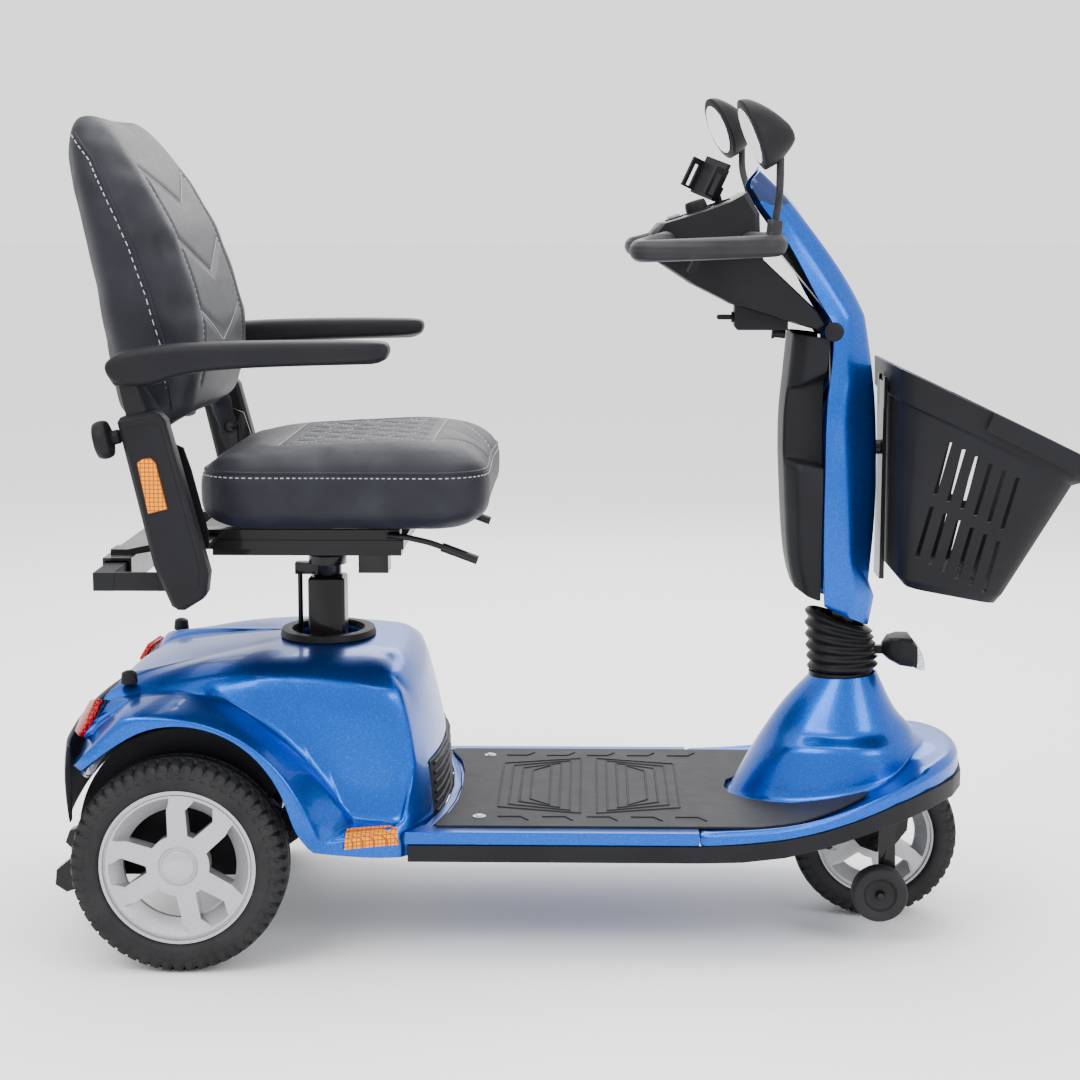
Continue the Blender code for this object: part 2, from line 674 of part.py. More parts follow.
def shroud_columns():
    """The rear shroud's ribs from the front centre round one side to the rear centre."""
    seam = SEAM_REAR_X - 0.0015
    corner = [(-0.532, 0.148, 0.3815), (-0.508, 0.170, 0.3660), (-0.494, 0.186, 0.3480),
              (-0.483, 0.196, 0.3000), (-0.4765, 0.1985, 0.2500), (-0.4715, 0.2000, 0.2150),
              (-0.4680, 0.2005, 0.1800), (-0.4668, 0.2005, 0.1370)]
    by_seam = [(-0.552, 0.150, 0.3820), (-0.530, 0.185, 0.3620), (-0.514, 0.200, 0.3460),
               (-0.4965, 0.2115, 0.1860), (-0.4925, 0.2190, 0.1775), (seam, 0.2320, 0.1745),
               (seam, 0.2372, 0.1690), (seam, 0.2375, 0.1390)]
    ledge = [(-0.578, 0.147, 0.3830), (-0.556, 0.185, 0.3680), (-0.546, 0.2010, 0.3520),
             (-0.5360, 0.2135, 0.1860), (-0.5310, 0.2220, 0.1785), (-0.5310, 0.2400, 0.1755),
             (-0.5330, 0.2490, 0.1690), (-0.5360, 0.2500, 0.1415)]
    fender_foot = [(-0.592, 0.146, 0.3840), (-0.582, 0.185, 0.3710), (-0.576, 0.2012, 0.3570),
                   (-0.5600, 0.2140, 0.1920), (-0.5520, 0.2260, 0.1800), (-0.5740, 0.2640, 0.1740),
                   (-0.5900, 0.2775, 0.1660), (-0.6000, 0.2790, 0.1560)]
    columns = [front_column(0.0, -0.500), front_column(0.080, -0.502), front_column(0.150, -0.512)]
    for rib in (corner, by_seam, ledge, fender_foot):
        columns.append([Vector(point) for point in rib])
    ribs = ((12, -0.606, 0.1762, 0.2140), (26, -0.634, 0.1736, 0.1980), (42, -0.664, 0.1747, 0.1880),
            (60, -0.702, 0.1765, 0.1835), (78, -0.742, 0.1795, 0.1845), (95, -0.782, 0.1855, 0.1925),
            (111, -0.822, 0.1970, 0.2010))
    columns += [side_column(*rib) for rib in ribs]
    quarter = [Vector((-0.850, 0.160, 0.364)), Vector((-0.868, 0.190, 0.350)),
               Vector((-0.878, 0.212, 0.336)), Vector((-0.886, 0.237, 0.315)),
               Vector((-0.893, 0.256, 0.296)), Vector((-0.900, 0.274, 0.275)),
               Vector((-0.8985, 0.2900, 0.270)), Vector((-0.8890, 0.2935, 0.264))]
    columns.append(quarter)
    columns += [rear_column(0.150, -0.846, 0.6), rear_column(0.075, -0.842, 0.1),
                rear_column(0.0, -0.842, 0.0)]
    return columns


def oval(centre_x, rx, ry, z, count, start):
    """Half an oval of points, from its front round one side to its back."""
    return [Vector((centre_x + rx * math.cos(a), ry * math.sin(a), z))
            for a in (start + (math.pi - start) * k / (count - 1) for k in range(count))]


def build_rear_shroud():
    columns = shroud_columns()
    hole = oval(POST_X, 0.052, 0.065, 0.3865, len(columns), 0.0)
    rows = [hole] + [[column[k] for column in columns] for k in range(8)]
    surface = sheet([full_loop(row) for row in rows])
    face_out(surface, Vector((-0.70, 0.0, 0.20)))
    body = thicken(surface, SHELL)
    vent_hole = box(-0.480, -0.400, -0.150, 0.150, 0.120, 0.245)
    lamps = [lamp_solid(side, 1.0, -0.030, 0.030) for side in (-1.0, 1.0)]
    add_node("rear_shroud", cut(body, vent_hole, *lamps), blue_paint())
    ring_low, ring_high = 0.3872, 0.3960
    rings = []
    for rx, ry, z in ((0.0665, 0.080, ring_low), (0.0640, 0.0775, ring_high),
                      (0.0500, 0.0635, ring_high), (0.0500, 0.0635, ring_low)):
        rings.append(full_loop(oval(POST_X, rx, ry, z, 12, 0.0)))
    add_node("post_ring", loft(rings, closed=True), black_plastic())


def build_vent():
    """A louvred grille in the front wall's opening, bowed like the wall."""
    ys = (-0.148, -0.09, 0.0, 0.09, 0.148)
    outline = ([(body_front_x(y) - 0.0005, y) for y in ys]
               + [(body_front_x(y) - 0.0040, y) for y in reversed(ys)])
    low = [Vector((x, y, 0.1640)) for x, y in outline]
    high = [Vector((x - 0.004, y, 0.2435)) for x, y in outline]
    add_node("front_vent", loft([low, high]), black_plastic())


def build_bumper():
    """The black bumper wrapped round the shroud's back, behind both rear wheels."""
    half = [(-0.9040, 0.2740), (-0.9095, 0.2560), (-0.9165, 0.2200), (-0.9225, 0.1500),
            (-0.9280, 0.0800)]
    plan = [(x, -y) for x, y in half] + [(-0.9300, 0.0)] + half[::-1]
    rings = []
    for x, y in plan:
        out = Vector((x + 0.60, y, 0.0)).normalized()
        section = ((0.000, 0.196), (0.0045, 0.193), (0.0085, 0.225), (0.0095, 0.262),
                   (0.0050, 0.292), (0.0, 0.290))
        rings.append([Vector((x + out.x * d, y + out.y * d, z)) for d, z in section])
    add_node("rear_bumper", loft(rings), black_plastic())


LAMP = ((-0.8775, 0.2180, 0.342), (-0.8865, 0.2430, 0.314), (-0.8960, 0.2520, 0.298),
        (-0.9090, 0.2150, 0.296), (-0.9060, 0.1880, 0.310), (-0.8920, 0.1880, 0.334))


def lamp_solid(side, scale, inner, outer):
    """The tail lamp's outline, scaled about its middle and stretched through the shroud."""
    points = [Vector((x, side * y, z)) for x, y, z in LAMP]
    middle = sum(points, Vector()) / len(points)
    push = Vector((-0.78, side * 0.55, 0.30)).normalized()
    return loft([[middle + (p - middle) * scale + push * d for p in points]
                 for d in (inner, outer)])


def build_tail_lamps():
    for name, side in sides():
        lens = lamp_solid(side, 0.965, -0.0060, 0.0050)
        add_node("tail_lamp_" + name, chamfer(lens, 0.002), material("red_lens", (0.45, 0.02, 0.02), 0.2))


def build_small_wheels():
    """The anti-tip bar behind, its two rubbing feet, and the stabiliser wheels in front."""
    bar = box(-0.893, -0.873, -0.1475, 0.1475, 0.148, 0.168)
    parts = []
    for side in (-1.0, 1.0):
        hanger = [(-0.895, 0.146), (-0.862, 0.146), (-0.862, 0.1815), (-0.895, 0.1815)]
        foot = [(-0.893, 0.128), (-0.872, 0.150), (-0.880, 0.165), (-0.938, 0.148),
                (-0.944, 0.132), (-0.930, 0.118), (-0.940, 0.108), (-0.957, 0.094),
                (-0.959, 0.074), (-0.944, 0.064), (-0.926, 0.070), (-0.914, 0.092)]
        parts.append(prism_y(hanger, *sorted((side * 0.1320, side * 0.1480))))
        parts.append(prism_y(foot, *sorted((side * 0.1300, side * 0.1500))))
    add_node("antitip_bar", union(bar, *parts), black_metal())
    for name, side in sides():
        caster("stabiliser_wheel_" + name, at_y(STABILISER, side * STABILISER.y), 0.037, 0.0130, 0.0049)


# ---- seat --------------------------------------------------------------------------------------
def build_post():
    outer = box(POST_X - 0.025, POST_X + 0.025, -0.025, 0.025, 0.1610, 0.4680)
    chamfer(outer, 0.003)
    bore = rod((POST_X, 0, 0.175), (POST_X, 0, 0.480), 0.0196, 14)
    add_node("seat_post_outer", cut(outer, bore), black_metal())
    mast = rod((POST_X, 0, 0.200), (POST_X, 0, 0.4900), 0.0188, 14)
    collar = turned([(0.0260, 0.4840), (0.0260, 0.4960), (0.0330, 0.4990), (0.0330, 0.5075)],
                    (POST_X, 0, 0), (0, 0, 1), 16, closed=False)
    lug = box(-0.652, -0.620, -0.009, 0.009, 0.4700, 0.4860)
    guide = rod((-0.646, 0, 0.250), (-0.646, 0, 0.478), 0.0036, 8)
    add_node("seat_post_inner", union(mast, collar, lug, guide), black_metal(), (POST_X, 0, 0.4))


def build_seat_base():
    """The swivel plate with its rails, and the sliding frame that carries seat and arms."""
    plate = turned([(0.046, 0.5080), (0.046, 0.5200)], (POST_X, 0, 0), (0, 0, 1), 16, closed=False)
    parts = [box(-0.700, -0.520, -0.115, 0.115, 0.5140, 0.5215)]
    for side in (-1.0, 1.0):
        parts.append(mirrored_box(side, -0.745, -0.497, 0.092, 0.122, 0.5130, 0.5280))
    parts.append(box(-0.560, -0.520, -0.060, -0.015, 0.4800, 0.5150))
    add_node("swivel_plate", union(plate, *parts), black_metal(), (POST_X, 0, 0.515))
    frame = box(-0.773, -0.490, -0.170, 0.170, 0.5284, 0.5400)
    rails = [mirrored_box(side, -0.773, -0.495, 0.140, 0.168, 0.5390, SLIDE_TOP)
             for side in (-1.0, 1.0)]
    carriers = [prism_y([(-0.750, 0.530), (-0.750, 0.539), (-0.790, 0.539), (-0.848, 0.5270),
                         (-0.8700, 0.5270), (-0.8700, 0.5205), (-0.8380, 0.5205), (-0.790, 0.5285)],
                        *sorted((side * 0.125, side * 0.165))) for side in (-1.0, 1.0)]
    outer = box(-0.873, -0.836, -0.200, 0.200, 0.4870, 0.5210)
    bore = box(-0.8695, -0.8395, -0.210, 0.210, 0.4905, 0.5175)
    body = cut(union(frame, *rails, *carriers, outer), bore)
    for side in (-1.0, 1.0):
        ear = [(-0.795, 0.640), (-0.786, 0.668), (-0.772, 0.674), (-0.757, 0.668), (-0.748, 0.640),
               (-0.728, 0.560), (-0.728, 0.541), (-0.766, 0.541), (-0.778, 0.600)]
        plate = prism_y(ear, *sorted((side * 0.2452, side * 0.2500)))
        tab = mirrored_box(side, -0.7655, -0.7285, 0.1600, 0.2495, 0.5415, 0.5465)
        bolt = rod(at_y(FOLD_PIVOT, side * 0.2380), at_y(FOLD_PIVOT, side * 0.2530), 0.0054)
        body = union(body, tab, plate, bolt)
    add_node("seat_frame", body, black_metal())


def build_cushion():
    rings = []
    for z, inset in ((0.5560, 0.022), (0.5640, 0.006), (0.5800, 0.0), (0.6280, 0.0),
                     (0.6480, 0.010), (0.6620, 0.032), (0.6720, 0.070)):
        points = rounded_rect(-0.752 + inset, -0.377 - inset, -0.235 + inset, 0.235 - inset,
                              0.065, 4)
        slope = 0.075 if z > 0.65 else 0.0
        rings.append([Vector((x, y, z + slope * (min(x, -0.50) + 0.50) * 0.9)) for x, y in points])
    add_node("seat_cushion", loft(rings), leather())


def build_backrest():
    levels = ((0.7050, -0.835, -0.768, 0.205), (0.7150, -0.843, -0.756, 0.222),
              (0.7600, -0.852, -0.742, 0.229), (0.8200, -0.863, -0.741, 0.231),
              (0.8700, -0.872, -0.754, 0.230), (0.9400, -0.888, -0.781, 0.226),
              (1.0000, -0.905, -0.818, 0.216), (1.0450, -0.917, -0.853, 0.196),
              (1.0700, -0.919, -0.874, 0.170), (1.0830, -0.912, -0.889, 0.138))
    rings = [flat_ring(rounded_rect(x0, x1, -w, w, 0.034, 3), z) for z, x0, x1, w in levels]
    bar = box(-0.806, -0.788, -0.2400, 0.2400, 0.6860, 0.7120)
    ears = []
    holes = []
    for side in (-1.0, 1.0):
        ear = [(-0.790, 0.637), (-0.772, 0.632), (-0.757, 0.642), (-0.757, 0.660),
               (-0.768, 0.704), (-0.822, 0.780), (-0.836, 0.780), (-0.812, 0.690)]
        ears.append(prism_y(ear, *sorted((side * 0.2392, side * 0.2446))))
        holes.append(rod(at_y(FOLD_PIVOT, side * 0.23), at_y(FOLD_PIVOT, side * 0.26), 0.0060))
    body = cut(union(loft(rings), bar, *ears), *holes)
    add_node("backrest", body, leather(), FOLD_PIVOT)


def lean_point(along, across, y):
    """A point of the arm guard, measured down from the arm's pivot along its leaning post."""
    down = Vector((math.sin(ARM_LEAN), 0.0, -math.cos(ARM_LEAN)))
    ahead = Vector((math.cos(ARM_LEAN), 0.0, math.sin(ARM_LEAN)))
    return Vector((ARM_PIVOT.x, y, ARM_PIVOT.z)) + down * along + ahead * across


def lean_prism(outline, y0, y1):
    low, high = sorted((y0, y1))
    return loft([[lean_point(a, c, y) for a, c in outline] for y in (low, high)])


def build_arms():
    for name, side in sides():
        y = side * ARM_Y
        guard = [(0.052, -0.022), (0.052, 0.024), (0.062, 0.036), (0.262, 0.044), (0.290, 0.034),
                 (0.302, 0.000), (0.292, -0.010), (0.240, -0.020)]
        body = lean_prism(guard, side * 0.275, side * 0.311)
        chamfer(body, 0.005)
        socket = lean_prism([(0.030, -0.0116), (0.030, 0.0116), (0.215, 0.0116), (0.215, -0.0116)],
                            side * 0.2815, side * 0.3005)
        bar = mirrored_box(side, -0.8675, -0.8415, 0.020, 0.285, 0.4925, 0.5155)
        neck = mirrored_box(side, -0.8675, -0.775, 0.2765, 0.284, 0.4925, 0.5155)
        body = union(cut(body, socket), bar, neck)
        screw = rod(lean_point(0.075, -0.040, y), lean_point(0.075, 0.0, y), 0.0050, 10)
        add_node("arm_guard_" + name, cut(body, screw), black_plastic(), lean_point(0.18, 0.0, y))
        post = lean_prism([(-0.0065, -0.0110), (-0.0065, 0.0110), (0.175, 0.0110), (0.175, -0.0110)],
                          side * 0.2822, side * 0.2998)
        hole = rod(at_y(ARM_PIVOT, side * 0.27), at_y(ARM_PIVOT, side * 0.32), 0.0050)
        add_node("arm_post_" + name, cut(post, hole), black_metal(), at_y(ARM_PIVOT, y))
        build_armrest(name, side)
        start = lean_point(0.075, -0.0114, y)
        away = (lean_point(0.0, -1.0, 0.0) - lean_point(0.0, 0.0, 0.0)).normalized()
        profile = [(0.0046, 0.0), (0.0046, 0.012), (0.0085, 0.016), (0.0085, 0.024),
                   (0.0220, 0.028), (0.0240, 0.032), (0.0240, 0.040), (0.0215, 0.044)]
        knob = turned(profile, start, away, 14, closed=False)
        add_node("arm_knob_" + name, knob, black_plastic(), start)


def build_armrest(name, side):
    """A padded rest with a slot at its heel for the post, and the bolt it turns on."""
    outline = [(-0.844, 0.772), (-0.830, 0.749), (-0.778, 0.749), (-0.736, 0.771), (-0.504, 0.775),
               (-0.492, 0.790), (-0.500, 0.805), (-0.735, 0.803), (-0.825, 0.793)]
    inner, outer = side * 0.2640, side * 0.3160
    body = prism_y(outline, *sorted((inner, outer)))
    chamfer(body, 0.006, 60.0)
    slot = prism_y([(-0.860, 0.735), (-0.792, 0.735), (-0.792, 0.7785), (-0.860, 0.7785)],
                   *sorted((side * 0.2808, side * 0.3012)))
    bolt = rod(at_y(ARM_PIVOT, side * 0.2650), at_y(ARM_PIVOT, side * 0.3150), 0.0046)
    add_node("armrest_" + name, union(cut(body, slot), bolt), black_plastic(),
             at_y(ARM_PIVOT, side * ARM_Y))


def build_seat_levers():
    """Rods that free the slide and the swivel, one each side under the cushion's front."""
    for name, side in (("slide_lever", -1.0), ("swivel_lever", 1.0)):
        y = side * 0.185
        path = rounded_corners([(-0.510, side * 0.1735, 0.5470), (-0.490, side * 0.1800, 0.5470),
                                (-0.455, y, 0.5400), (-0.398, y, 0.5190)], 0.008, 2)
        lever = union(swept(path[:-1] + [Vector((-0.436, y, 0.533))], 0.0040, 8),
                      rod((-0.440, y, 0.5345), (-0.394, y, 0.5175), 0.0060, 10))
        add_node(name, lever, black_metal(), (-0.510, side * 0.1735, 0.5470))


# ---- tiller ------------------------------------------------------------------------------------
def channel(stations):
    """Open U-shaped sections, each a list of (x, y, z) for one half from rear edge to centre."""
    rows = []
    for half in stations:
        points = [Vector((x, y, z)) for x, y, z in half]
        rows.append(points + [Vector((p.x, -p.y, p.z)) for p in points[-2::-1]])
    return sheet(rows, wrap=False)


def build_front_cover():
    """The faceted blue cover: a channel from the boot up to the console, bent at the knee."""
    stations = [
        ((0.0610, 0.0700, 0.4380), (0.0900, 0.0660, 0.4240),
         (0.1240, 0.0400, 0.4075), (0.1280, 0.0, 0.4050)),
        ((0.0600, 0.0760, 0.4700), (0.1000, 0.0740, 0.4560),
         (0.1310, 0.0440, 0.4480), (0.1350, 0.0, 0.4460)),
        ((0.0580, 0.0800, 0.5050), (0.0940, 0.0780, 0.5050),
         (0.1220, 0.0480, 0.4700), (0.1270, 0.0, 0.4650)),
        ((0.0580, 0.0840, 0.5700), (0.0900, 0.0800, 0.5700),
         (0.1300, 0.0500, 0.5600), (0.1350, 0.0, 0.5600)),
        ((0.0580, 0.0850, 0.6400), (0.0850, 0.0800, 0.6480),
         (0.1290, 0.0520, 0.6400), (0.1335, 0.0, 0.6400)),
        ((0.0580, 0.0860, 0.6850), (0.0760, 0.0900, 0.7020),
         (0.1270, 0.0540, 0.6950), (0.1315, 0.0, 0.6950)),
        ((0.0600, 0.0870, 0.7250), (0.0910, 0.0800, 0.7460),
         (0.1220, 0.0560, 0.7460), (0.1265, 0.0, 0.7460)),
        ((0.0665, 0.0880, 0.7750), (0.0880, 0.0830, 0.7860),
         (0.1150, 0.0570, 0.7900), (0.1195, 0.0, 0.7900)),
        ((0.0650, 0.0880, 0.8150), (0.0860, 0.0830, 0.8250),
         (0.1090, 0.0580, 0.8240), (0.1140, 0.0, 0.8260)),
        ((0.0450, 0.0860, 0.8440), (0.0630, 0.0800, 0.8600),
         (0.0880, 0.0560, 0.8660), (0.0920, 0.0, 0.8690)),
        ((0.0200, 0.0800, 0.8950), (0.0320, 0.0740, 0.9080),
         (0.0560, 0.0540, 0.9120), (0.0590, 0.0, 0.9160)),
        ((-0.0060, 0.0720, 0.9380), (0.0030, 0.0670, 0.9500),
         (0.0240, 0.0500, 0.9530), (0.0270, 0.0, 0.9590)),
        ((-0.0240, 0.0640, 0.9600), (-0.0170, 0.0590, 0.9740),
         (0.0010, 0.0460, 0.9820), (0.0040, 0.0, 0.9880)),
        ((-0.0430, 0.0520, 0.9930), (-0.0400, 0.0480, 1.0010),
         (-0.0300, 0.0380, 1.0120), (-0.0290, 0.0, 1.0190)),
    ]
    surface = channel(stations)
    face_out(surface, Vector((0.03, 0.0, 0.70)))
    post_hole = rod((0.1100, 0, 0.645), (0.1450, 0, 0.645), 0.0108, 12)
    add_node("tiller_front_cover", cut(thicken(surface, SHELL), post_hole), blue_paint(), TILT_PIVOT)


def build_rear_cover():
    """The black cover on the rider's side, with a pocket sunk in each flank."""
    stations = [
        ((0.0570, 0.0660, 0.4440), (0.0400, 0.0640, 0.4500), (0.0240, 0.0440, 0.4600), (0.0220, 0.0, 0.4620)),
        ((0.0565, 0.0740, 0.4950), (0.0280, 0.0720, 0.4950), (0.0130, 0.0480, 0.4950), (0.0110, 0.0, 0.4950)),
        ((0.0565, 0.0810, 0.5850), (0.0250, 0.0790, 0.5850), (0.0080, 0.0520, 0.5850), (0.0060, 0.0, 0.5850)),
        ((0.0565, 0.0830, 0.6240), (0.0230, 0.0800, 0.6300), (0.0060, 0.0540, 0.6350), (0.0040, 0.0, 0.6350)),
        ((0.0565, 0.0560, 0.6280), (0.0210, 0.0540, 0.6360), (0.0055, 0.0500, 0.6400), (0.0035, 0.0, 0.6400)),
        ((0.0565, 0.0560, 0.6900), (0.0200, 0.0540, 0.6900), (0.0050, 0.0500, 0.6900), (0.0030, 0.0, 0.6900)),
        ((0.0570, 0.0560, 0.7400), (0.0250, 0.0540, 0.7280), (0.0090, 0.0510, 0.7280), (0.0075, 0.0, 0.7280)),
        ((0.0590, 0.0820, 0.7520), (0.0280, 0.0760, 0.7360), (0.0100, 0.0540, 0.7360), (0.0080, 0.0, 0.7360)),
        ((0.0620, 0.0840, 0.7950), (0.0340, 0.0800, 0.7985), (0.0160, 0.0560, 0.8010), (0.0140, 0.0, 0.8010)),
    ]
    surface = channel(stations)
    face_out(surface, Vector((0.06, 0.0, 0.62)))
    add_node("tiller_rear_cover", thicken(surface, SHELL), black_plastic(), TILT_PIVOT)


def build_column():
    outline = [(0.079, 0.3600), (0.107, 0.3600), (0.104, 0.600), (0.100, 0.806), (0.090, 0.835),
               (0.000, 0.944), (-0.020, 0.930), (0.070, 0.820), (0.074, 0.600)]
    body = prism_y(outline, -0.0180, 0.0180)
    pin = rod(at_y(TILT_PIVOT, -0.0300), at_y(TILT_PIVOT, 0.0300), 0.0042)
    post = rod((0.0950, 0, 0.645), (0.1400, 0, 0.645), 0.0100, 12)
    plate = prism_y([(0.1385, 0.470), (0.1450, 0.470), (0.1440, 0.735), (0.1400, 0.735)],
                    -0.030, 0.030)
    hooks = [mirrored_box(side, 0.1395, 0.1440, 0.025, 0.034, 0.700, 0.742) for side in (-1.0, 1.0)]
    add_node("tiller_column", union(body, pin, post, plate, *hooks), black_metal(), TILT_PIVOT)


def build_boot():
    """The bellows between shroud and tiller: six folds that lean back and tilt up at the top."""
    folds = 6
    rings = []
    steps = 2 * folds
    for k in range(steps + 1):
        t = k / steps
        centre = Vector((0.0955 - 0.0075 * t, 0.0, 0.3405 + 0.0730 * t))
        tilt = math.radians(3.5 - 23.0 * t ** 1.5)
        rings.append((centre, tilt, 0.0500 if k % 2 else 0.0440))
    rings = rings + [(rings[-1][0], rings[-1][1], 0.0370), (rings[0][0], rings[0][1], 0.0370)]
    loops = []
    for centre, tilt, radius in rings:
        normal = Vector((-math.sin(tilt), 0.0, math.cos(tilt)))
        loops.append(circle(centre, normal, radius, 16))
    body = loft(loops, closed=True)
    lamp_hole = box(0.115, 0.170, -0.0085, 0.0085, 0.3595, 0.3765)
    add_node("boot", cut(body, lamp_hole), material("boot_rubber", RUBBER, 0.7), (0.0955, 0, 0.3405))


def build_headlamp():
    stem = box(0.1130, 0.160, -0.0060, 0.0060, 0.3625, 0.3735)
    ears = box(0.1115, 0.1160, -0.0245, 0.0245, 0.3560, 0.3800)
    sections = []
    for x, low, high, half in ((0.1480, 0.362, 0.378, 0.010), (0.1560, 0.356, 0.386, 0.024),
                               (0.1700, 0.350, 0.388, 0.034), (0.1860, 0.348, 0.387, 0.037)):
        middle = 0.5 * (low + high)
        points = rounded_rect(-half, half, low - middle, high - middle, 0.010, 2)
        sections.append([Vector((x, y, middle + z)) for y, z in points])
    hood = loft(sections)
    glass = []
    for x, low, high, half in ((0.1850, 0.349, 0.386, 0.036), (0.1920, 0.346, 0.378, 0.034),
                               (0.2000, 0.343, 0.366, 0.028), (0.2040, 0.342, 0.352, 0.018)):
        middle = 0.5 * (low + high)
        points = rounded_rect(-half, half, low - middle, high - middle, 0.010, 2)
        glass.append([Vector((x, y, middle + z)) for y, z in points])
    add_node("headlamp", union(stem, ears, hood, loft(glass)), black_plastic(), (0.150, 0, 0.368))


def tapered_prism(outline, half, shrink, bevel):
    """An X-Z outline stretched across the centre plane, its two ends drawn in."""
    middle = Vector((sum(p[0] for p in outline), 0.0, sum(p[1] for p in outline))) / len(outline)
    rings = []
    for y, scale in ((-half, shrink), (-half + bevel, 1.0), (half - bevel, 1.0), (half, shrink)):
        rings.append([Vector((middle.x + (x - middle.x) * scale, y,
                              middle.z + (z - middle.z) * scale)) for x, z in outline])
    return loft(rings)


CONSOLE_SPLIT = 0.905
PHONE_X = -0.080
PHONE_HINGE = 0.0150


def build_console():
    low = [(-0.166, CONSOLE_SPLIT), (-0.163, 0.893), (-0.122, 0.866), (-0.070, 0.840),
           (-0.005, 0.820), (0.050, 0.8040), (0.060, 0.8100), (0.048, 0.828), (0.026, 0.849),
           (-0.026, 0.897), (-0.028, CONSOLE_SPLIT)]
    inner = [(-0.152, 0.930), (-0.150, 0.899), (-0.118, 0.874), (-0.068, 0.848),
             (-0.012, 0.830), (0.030, 0.8190), (0.032, 0.826), (0.012, 0.848), (-0.034, 0.893),
             (-0.036, 0.930)]
    body = cut(tapered_prism(low, 0.0840, 0.93, 0.010), prism_y(inner, -0.072, 0.072))
    column_gap = box(0.006, 0.080, -0.0215, 0.0215, 0.790, 0.960)
    housing = prism_y([(-0.0580, 0.8050), (-0.0620, 0.8100), (-0.0620, 0.8420), (-0.0350, 0.8330),
                       (0.0080, 0.8200), (0.0080, 0.8050)], -0.066, -0.034)
    keyhole = rod((-0.0640, -0.050, 0.8215), (-0.0480, -0.050, 0.8215), 0.0034)
    socket = turned([(0.0058, 0.0), (0.0058, 0.014), (0.0076, 0.015), (0.0076, 0.018)],
                    (0.0060, -0.050, 0.7990), (-1, 0, 0.1), 12, closed=False)
    body = cut(union(cut(body, column_gap), housing, socket), keyhole)
    add_node("console_lower", body, black_plastic(), TILT_PIVOT)
    high = [(-0.170, CONSOLE_SPLIT + GAP), (-0.172, 0.9300), (-0.160, 0.9440), (-0.101, 0.9620),
            (-0.068, 0.9740), (-0.050, 0.9840), (-0.033, 0.9560), (-0.031, CONSOLE_SPLIT + GAP)]
    hollow = [(-0.158, 0.880), (-0.160, 0.926), (-0.150, 0.934), (-0.098, 0.951),
              (-0.060, 0.964), (-0.043, 0.950), (-0.041, 0.880)]
    lid = cut(tapered_prism(high, 0.1020, 0.90, 0.012), prism_y(hollow, -0.080, 0.080))
    up = top_normal()
    foot = lid_point(PHONE_X, 0.0, -0.003)
    knuckle = lid_point(PHONE_X, 0.0, PHONE_HINGE)
    base = rod(foot, foot + up * 0.0070, 0.016, 12)
    neck = rod(foot, knuckle, 0.0052, 10)
    ball = rod(at_y(knuckle, -0.0055), at_y(knuckle, 0.0055), 0.0056, 10)
    add_node("console_upper", union(lid, base, neck, ball), black_plastic(), TILT_PIVOT)


def top_normal():
    """The console lid's outward direction between its two long corners."""
    return Vector((-(0.9620 - 0.9440), 0.0, -0.101 + 0.160)).normalized()


def lid_point(x, y, proud):
    """A point over the console's lid."""
    z = 0.9440 + (x + 0.160) * (0.9620 - 0.9440) / (-0.101 + 0.160)
    return Vector((x, y, z)) + top_normal() * proud


def build_controls():
    up = top_normal()
    pivot = lid_point(-0.112, -0.068, GAP)
    profile = [(0.0150, 0.0), (0.0150, 0.010), (0.0130, 0.014), (0.0060, 0.015)]
    add_node("speed_knob", turned(profile, pivot, up, 14, closed=False), black_plastic(), pivot)
    buttons = (("horn_button", -0.142, -0.070), ("lights_button", -0.142, -0.042))
    for name, x, y in buttons:
        pivot = lid_point(x, y, 0.0018)
        profile = [(0.0080, 0.0), (0.0080, 0.0022), (0.0066, 0.0034)]
        add_node(name, turned(profile, pivot, up, 12, closed=False),
                 material("button_plastic", (0.35, 0.35, 0.36), 0.5), pivot)
    blade = rod((-0.0500, -0.050, 0.8215), (-0.0680, -0.050, 0.8215), 0.0030)
    collar = rod((-0.0625, -0.050, 0.8215), (-0.0655, -0.050, 0.8215), 0.0072)
    bow = prism_y([(-0.0665, 0.8185), (-0.0665, 0.8245), (-0.0830, 0.8245), (-0.0850, 0.8215),
                   (-0.0830, 0.8185)], -0.0590, -0.0410)
    add_node("ignition_key", union(blade, collar, bow), steel(), (-0.0625, -0.050, 0.8215))
    for name, side in sides():
        y0, y1 = side * 0.1030, side * 0.1180
        shaft = rod((-0.118, y0, 0.9160), (-0.118, y1, 0.9160), 0.0060)
        paddle = prism_y([(-0.1225, 0.9120), (-0.1135, 0.9120), (-0.1150, 0.8900), (-0.1240, 0.8820),
                          (-0.1285, 0.8850), (-0.1230, 0.8950)], *sorted((side * 0.1165, side * 0.185)))
        add_node("throttle_" + name, union(shaft, paddle), black_plastic(),
                 (-0.118, y0, 0.9160))


MIRROR_BALLS = {"right": Vector((-0.0210, -0.2565, 1.0330)), "left": Vector((-0.0340, 0.2565, 1.0580))}
MIRROR_YAW = {"right": -0.175, "left": -0.38}


